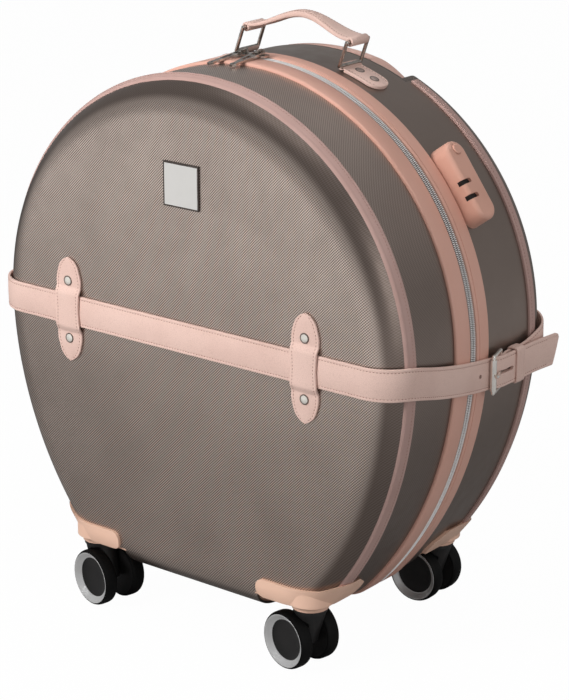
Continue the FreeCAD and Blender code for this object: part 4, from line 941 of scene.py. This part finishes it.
# Carry handle tabs and rings: leather straps folded round the rings' lower bars, laid on the rear half's
# top wall and riveted twice. The rings are bent from nickel wire.
PIVOT_X = 61.0
PIVOT_Z = 535.479
HANDLE_Y = 51.5
PIVOT_TURN = atan2(PIVOT_Z - CENTRE, PIVOT_X)
TAB_TURN = radians(10.2)
TAB_HALF = 14.0
TAB_THICK = 1.6
TAB_UNDER = 237.95
TAB_OVER = 239.55
TAB_END = 12.5
TAB_CAP = (4.6, 1.25)
TAB_WRAP = 3.3
TAB_ARC = 238.0
TAB_CAP_SEAT = 240.2


def at_turn(radius, turn, mirrored):
    spot = Vector((radius * cos(turn), HANDLE_Y, CENTRE + radius * sin(turn)))
    return Vector((-spot.x, spot.y, spot.z)) if mirrored else spot


def tab_outward(turn, mirrored):
    return at_turn(1.0, turn, mirrored) - at_turn(0.0, turn, mirrored)


def tab_half(turn):
    to_end = (turn - (PIVOT_TURN - TAB_TURN)) * TAB_ARC
    if to_end > TAB_END:
        return TAB_HALF
    return TAB_HALF - TAB_END + sqrt(max(0.0, TAB_END ** 2 - (TAB_END - to_end) ** 2))


for tab_name, mirrored in (("left", True), ("right", False)):
    tab_line = []
    for turn in steps(PIVOT_TURN - TAB_TURN, PIVOT_TURN - radians(1.0), radians(0.25)):
        spot, inward = at_turn(TAB_UNDER, turn, mirrored), -tab_outward(turn, mirrored)
        tab_line.append((spot, ACROSS, inward, tab_half(turn)))
    for swing in turns(-100, -275, 12):
        outward = Vector((cos(PIVOT_TURN + swing), 0.0, sin(PIVOT_TURN + swing)))
        spot = Vector((PIVOT_X, HANDLE_Y, PIVOT_Z))
        if mirrored:
            outward, spot = Vector((-outward.x, 0.0, outward.z)), Vector((-spot.x, spot.y, spot.z))
        tab_line.append((spot + outward * TAB_WRAP, ACROSS, outward, TAB_HALF))
    top_line = []
    for turn in steps(PIVOT_TURN - radians(1.4), PIVOT_TURN - TAB_TURN, radians(0.25)):
        top_line.append((at_turn(TAB_OVER, turn, mirrored), ACROSS, tab_outward(turn, mirrored), tab_half(turn)))
    tab = make_strap("handle_tab_leather_" + tab_name, tab_line + top_line, TAB_THICK, leather_finish)
    stands_for(tab, "rear_half", "leather", "handle_tab_" + tab_name)
    tab_seams = strap_seams(top_line, TAB_THICK, 2, -6)
    sew("handle_tab_stitches_" + tab_name, tab_seams, "rear_half", thread_finish)
tab_places = []
for mirrored in (False, True):
    for offset in (2.9, 7.1):
        turn = PIVOT_TURN - radians(offset)
        tab_places.append((at_turn(TAB_CAP_SEAT, turn, mirrored), tab_outward(turn, mirrored)))
tab_rivet_finish = cap_finish("rivet_dull", (172, 154, 146), (150, 132, 124), (104, 88, 81))
set_rivets("handle_rivet_caps", tab_places, TAB_CAP, tab_rivet_finish, "rear_half", "handle_rivets")
smoked_finish = CaseFinish("nickel_smoked", (190, 183, 176), 0.18, metal=1.0)
smoked_finish.mottle(240.0, 3.0, 0.4, 0.7, 0.5, (96, 90, 85))
smoked_finish.sheen(130.0, 4.0, 0.14, 0.26)
dress(smoked_finish, "handle_ring_left", "handle_ring_right")

# Carry handle grip: an arched pad of leather over a firm core, fuller in the middle, with a sewn seam along
# each edge. Its ends fold round the rings' upper bars.
GRIP_SHIFT = 8.379
GRIP_Z = 558.502
GRIP_SEAT = 1.9
GRIP_RISE = 15.8
GRIP_SECTION = 40
GRIP_SEAM = 2.4
grip_points, grip_uv = [], []
grip_edge = {-1.0: [], 1.0: []}


def grip_middle(share):
    rise = GRIP_SEAT + GRIP_RISE * 0.5 * (1.0 + cos(pi * share))
    return Vector((GRIP_SHIFT + share * PIVOT_X, HANDLE_Y, GRIP_Z + rise))


grip_shares = steps(-1.0, 1.0, 1.0 / 60.0)
for share in grip_shares:
    spread = 0.5 * (1.0 - cos(pi * share))
    half = 7.0 + 6.0 * spread
    lift = (grip_middle(share + 0.01) - grip_middle(share - 0.01)).normalized().cross(ACROSS)
    lift = lift if lift.z > 0.0 else -lift
    upper = 3.4 - 0.9 * spread
    lower = upper - 2.75 * smooth((4.4 - (1.0 - abs(share)) * PIVOT_X) / 3.4)
    for t in around(GRIP_SECTION):
        c, v = cos(t), sin(t)
        a = half * copysign(abs(c) ** 0.6, c)
        b = (upper if v > 0 else lower) * copysign(abs(v) ** 0.62, v)
        if abs(v) > 0.05:
            b -= copysign(0.3 * exp(-((abs(a) - (half - GRIP_SEAM)) / 0.8) ** 2), v)
        grip_points.append(grip_middle(share) + ACROSS * a + lift * b)
        grip_uv.append((share * PIVOT_X, a))
    if abs(share) < 0.93:
        for sign in (-1.0, 1.0):
            rise = upper * (1.0 - ((half - GRIP_SEAM) / half) ** (2.0 / 0.6)) ** 0.31 - 0.2
            grip_edge[sign].append((grip_middle(share) + ACROSS * sign * (half - GRIP_SEAM) + lift * rise, lift))
grip_faces = skin(len(grip_shares), GRIP_SECTION)
FOLD_SHAPE = ((2.1, -12.6), (2.4, -13.0), (3.8, -13.0), (4.4, -12.3),
              (4.4, 12.3), (3.8, 13.0), (2.4, 13.0), (2.1, 12.6))
for x in (-PIVOT_X, PIVOT_X):
    first = len(grip_points)
    for radius, y in FOLD_SHAPE:
        for t in around(GRIP_SECTION):
            u, v = radius * cos(t), radius * sin(t)
            grip_points.append(Vector((x + GRIP_SHIFT + u, HANDLE_Y + y, GRIP_Z + v)))
            grip_uv.append((radius * t, y))
    grip_faces += skin(len(FOLD_SHAPE), GRIP_SECTION, True, first)
grip = make_piece("handle_grip_leather", grip_points, grip_faces, leather_finish, grip_uv, 60.0)
stands_for(grip, "handle_grip", "leather", "handle_grip")
sew("handle_grip_stitches", list(grip_edge.values()), "handle_grip", thread_finish)

# Trolley: a moulded grip in a cup at the rear top edge, with a push button, on three stages of aluminium tube
# that stand on a moulded foot behind the rear lining.
tube_finish = CaseFinish("tube_aluminium", (196, 197, 199), 0.32, metal=0.9)
tube_finish.grit(420.0, 2.0, 0.00004, 0.4)
tube_finish.mottle(30.0, 3.0, 0.35, 0.7, 0.3, (160, 161, 164))
black_finish = CaseFinish("plastic_black", (24, 23, 23), 0.5)
black_finish.grit(800.0, 2.0, 0.00006, 0.6)
black_finish.mottle(40.0, 4.0, 0.4, 0.75, 0.4, (38, 36, 36))
cup_finish = CaseFinish("cup_taupe", (92, 82, 76), 0.5)
cup_finish.grit(600.0, 2.0, 0.00006, 0.5)
cup_finish.mottle(26.0, 4.0, 0.35, 0.75, 0.3, (72, 64, 59))
dress(cup_finish, "trolley_cup")
grip_finish = moulded("trolley_rose", (222, 180, 167), 0.46, 20.0, 0.3, (206, 160, 146))
dress(grip_finish, "trolley_grip", "trolley_button")
dress(black_finish, "trolley_base")
dress(tube_finish, "trolley_outer_tubes", "trolley_mid_tubes", "trolley_inner_tubes")

# Combination lock: a moulded block on the right shoulder of the rear half, with two slots for the zip pulls,
# three knurled dials on a steel axle and a release button.
lock_finish = moulded("lock_peach", (220, 168, 149), 0.40, 24.0, 0.3, (190, 140, 120))
lock_finish.sheen(60.0, 3.0, 0.34, 0.46)
slot_shade_finish = CaseFinish("slot_shade_black", (16, 14, 14), 0.6)
slot_shade_finish.grit(900.0, 2.0, 0.00005, 0.5)
slot_shade_finish.mottle(500.0, 3.0, 0.4, 0.8, 0.4, (34, 30, 29))
dress(lock_finish, "lock_housing", "lock_dial_1", "lock_dial_2", "lock_dial_3", "lock_button")
dress(nickel_finish, "lock_axle")
LOCK_TURN = radians(36.0)
LOCK_OUT = Vector((cos(LOCK_TURN), 0.0, sin(LOCK_TURN)))
LOCK_ALONG = Vector((sin(LOCK_TURN), 0.0, -cos(LOCK_TURN)))
THROAT_RIM = [(2.15 * cos(t), 34.85 + 2.1 * sin(t)) for t in steps(0.0, pi, pi / 8.0)]
THROAT_RIM += [(-2.15, 25.45), (2.15, 25.45)]
# Painted shade: near-black pieces set inside the two slots stand in for the shade within them.
throat_points, throat_faces = [], []
for along in (0.3, 14.8):
    throat_faces += skin(2, len(THROAT_RIM), first=len(throat_points))
    for radius in (249.05, 253.4):
        for across, y in THROAT_RIM:
            throat_points.append(Vector((0, y, CENTRE)) + LOCK_OUT * radius + LOCK_ALONG * (along + across))
throats = make_piece("lock_slot_shade_walls", throat_points, throat_faces, slot_shade_finish)
stands_for(throats, "rear_half", "black_plastic")

# Zip sliders: die-cast nickel bodies on the chain near the top, each with a hinged openwork pull
# that lies over the front band.
dress(smoked_finish, "zip_slider_1", "zip_slider_2", "zip_pull_1", "zip_pull_2")

# Casters: moulded corner housings with a swivel socket, black forks, and twin wheels of black rubber
# on dished hubs, each with a bright conical ring.
rubber_finish = CaseFinish("tyre_black", (9, 9, 9), 0.6)
rubber_finish.surface.inputs["Specular IOR Level"].default_value = 0.15
rubber_finish.grit(700.0, 3.0, 0.00008, 0.6)
rubber_finish.mottle(60.0, 4.0, 0.4, 0.75, 0.4, (18, 17, 17))
ring_finish = CaseFinish("wheel_ring_silver", (226, 226, 226), 0.36, metal=0.6)
ring_finish.mottle(90.0, 3.0, 0.4, 0.75, 0.3, (198, 196, 194))
ring_finish.sheen(150.0, 3.0, 0.36, 0.46)
TRAIL = 12.5
AXLE_Z = 28.0
TYRE = ((25.2, 9.6), (26.4, 9.8), (27.4, 10.8), (27.9, 12.4), (28.0, 14.6), (28.0, 19.2), (27.75, 20.9),
        (27.1, 22.4), (26.3, 23.3), (25.7, 23.5), (25.2, 23.1), (24.6, 20.0), (24.6, 10.5))
RING = ((25.8, 23.4), (25.5, 23.6), (24.9, 23.55), (24.4, 23.2), (20.9, 19.7), (20.4, 19.35), (19.8, 19.2),
        (19.8, 18.3), (24.7, 18.3), (25.3, 22.8))
HUB = ((20.3, 19.1), (19.6, 18.9), (18.6, 18.2), (16.8, 17.5), (14.0, 17.0), (10.0, 16.75), (5.0, 16.62),
       (0.02, 16.6), (0.02, 9.7), (26.0, 9.7), (26.0, 10.4), (24.8, 11.2), (24.8, 18.6))
CASTERS = {"fl": (-1.0, FRONT_SWIVEL, 191.5), "fr": (1.0, FRONT_SWIVEL, 10.5), "rr": (1.0, REAR_SWIVEL, 0.0),
           "rl": (-1.0, REAR_SWIVEL, 205.0)}


def turned_wheels(name, profile, finish, side, swivel, turn, count=96):
    points, faces = [], []
    swing = radians(-turn)
    for mirror in (-1.0, 1.0):
        faces += skin(count, len(profile), True, len(points))
        for t in around(count):
            for radius, y in profile:
                x, z = -TRAIL + radius * cos(t), AXLE_Z + radius * sin(t)
                v = mirror * y
                points.append((side * swivel[0] + x * cos(swing) - v * sin(swing),
                               swivel[1] + x * sin(swing) + v * cos(swing), z))
    return make_piece(name, points, faces, finish, crease=32.0)


housing_finish = moulded("housing_peach", (246, 203, 179), 0.42, 18.0, 0.25, (236, 190, 165))
# Painted shade: the housing's colour darkens below about 58 to 70 mm, under the case towards the wheels.
housing_finish.tint(housing_finish.ramp(housing_finish.along("Z"), 0.058, 0.070, 0.35, 0.0), (150, 112, 96))
housing_finish.sheen(50.0, 3.0, 0.36, 0.5)
for corner, (side, swivel, turn) in CASTERS.items():
    dress(housing_finish, "caster_housing_" + corner)
    dress(black_finish, "caster_fork_" + corner)
    tyre = turned_wheels("caster_tyres_" + corner, TYRE, rubber_finish, side, swivel, turn)
    stands_for(tyre, "wheels_" + corner, "wheel", "caster_wheels_" + corner)
    ring = turned_wheels("caster_rings_" + corner, RING, ring_finish, side, swivel, turn)
    stands_for(ring, "wheels_" + corner, "nickel")
    hub = turned_wheels("caster_hubs_" + corner, HUB, black_finish, side, swivel, turn)
    stands_for(hub, "wheels_" + corner, "black_plastic")
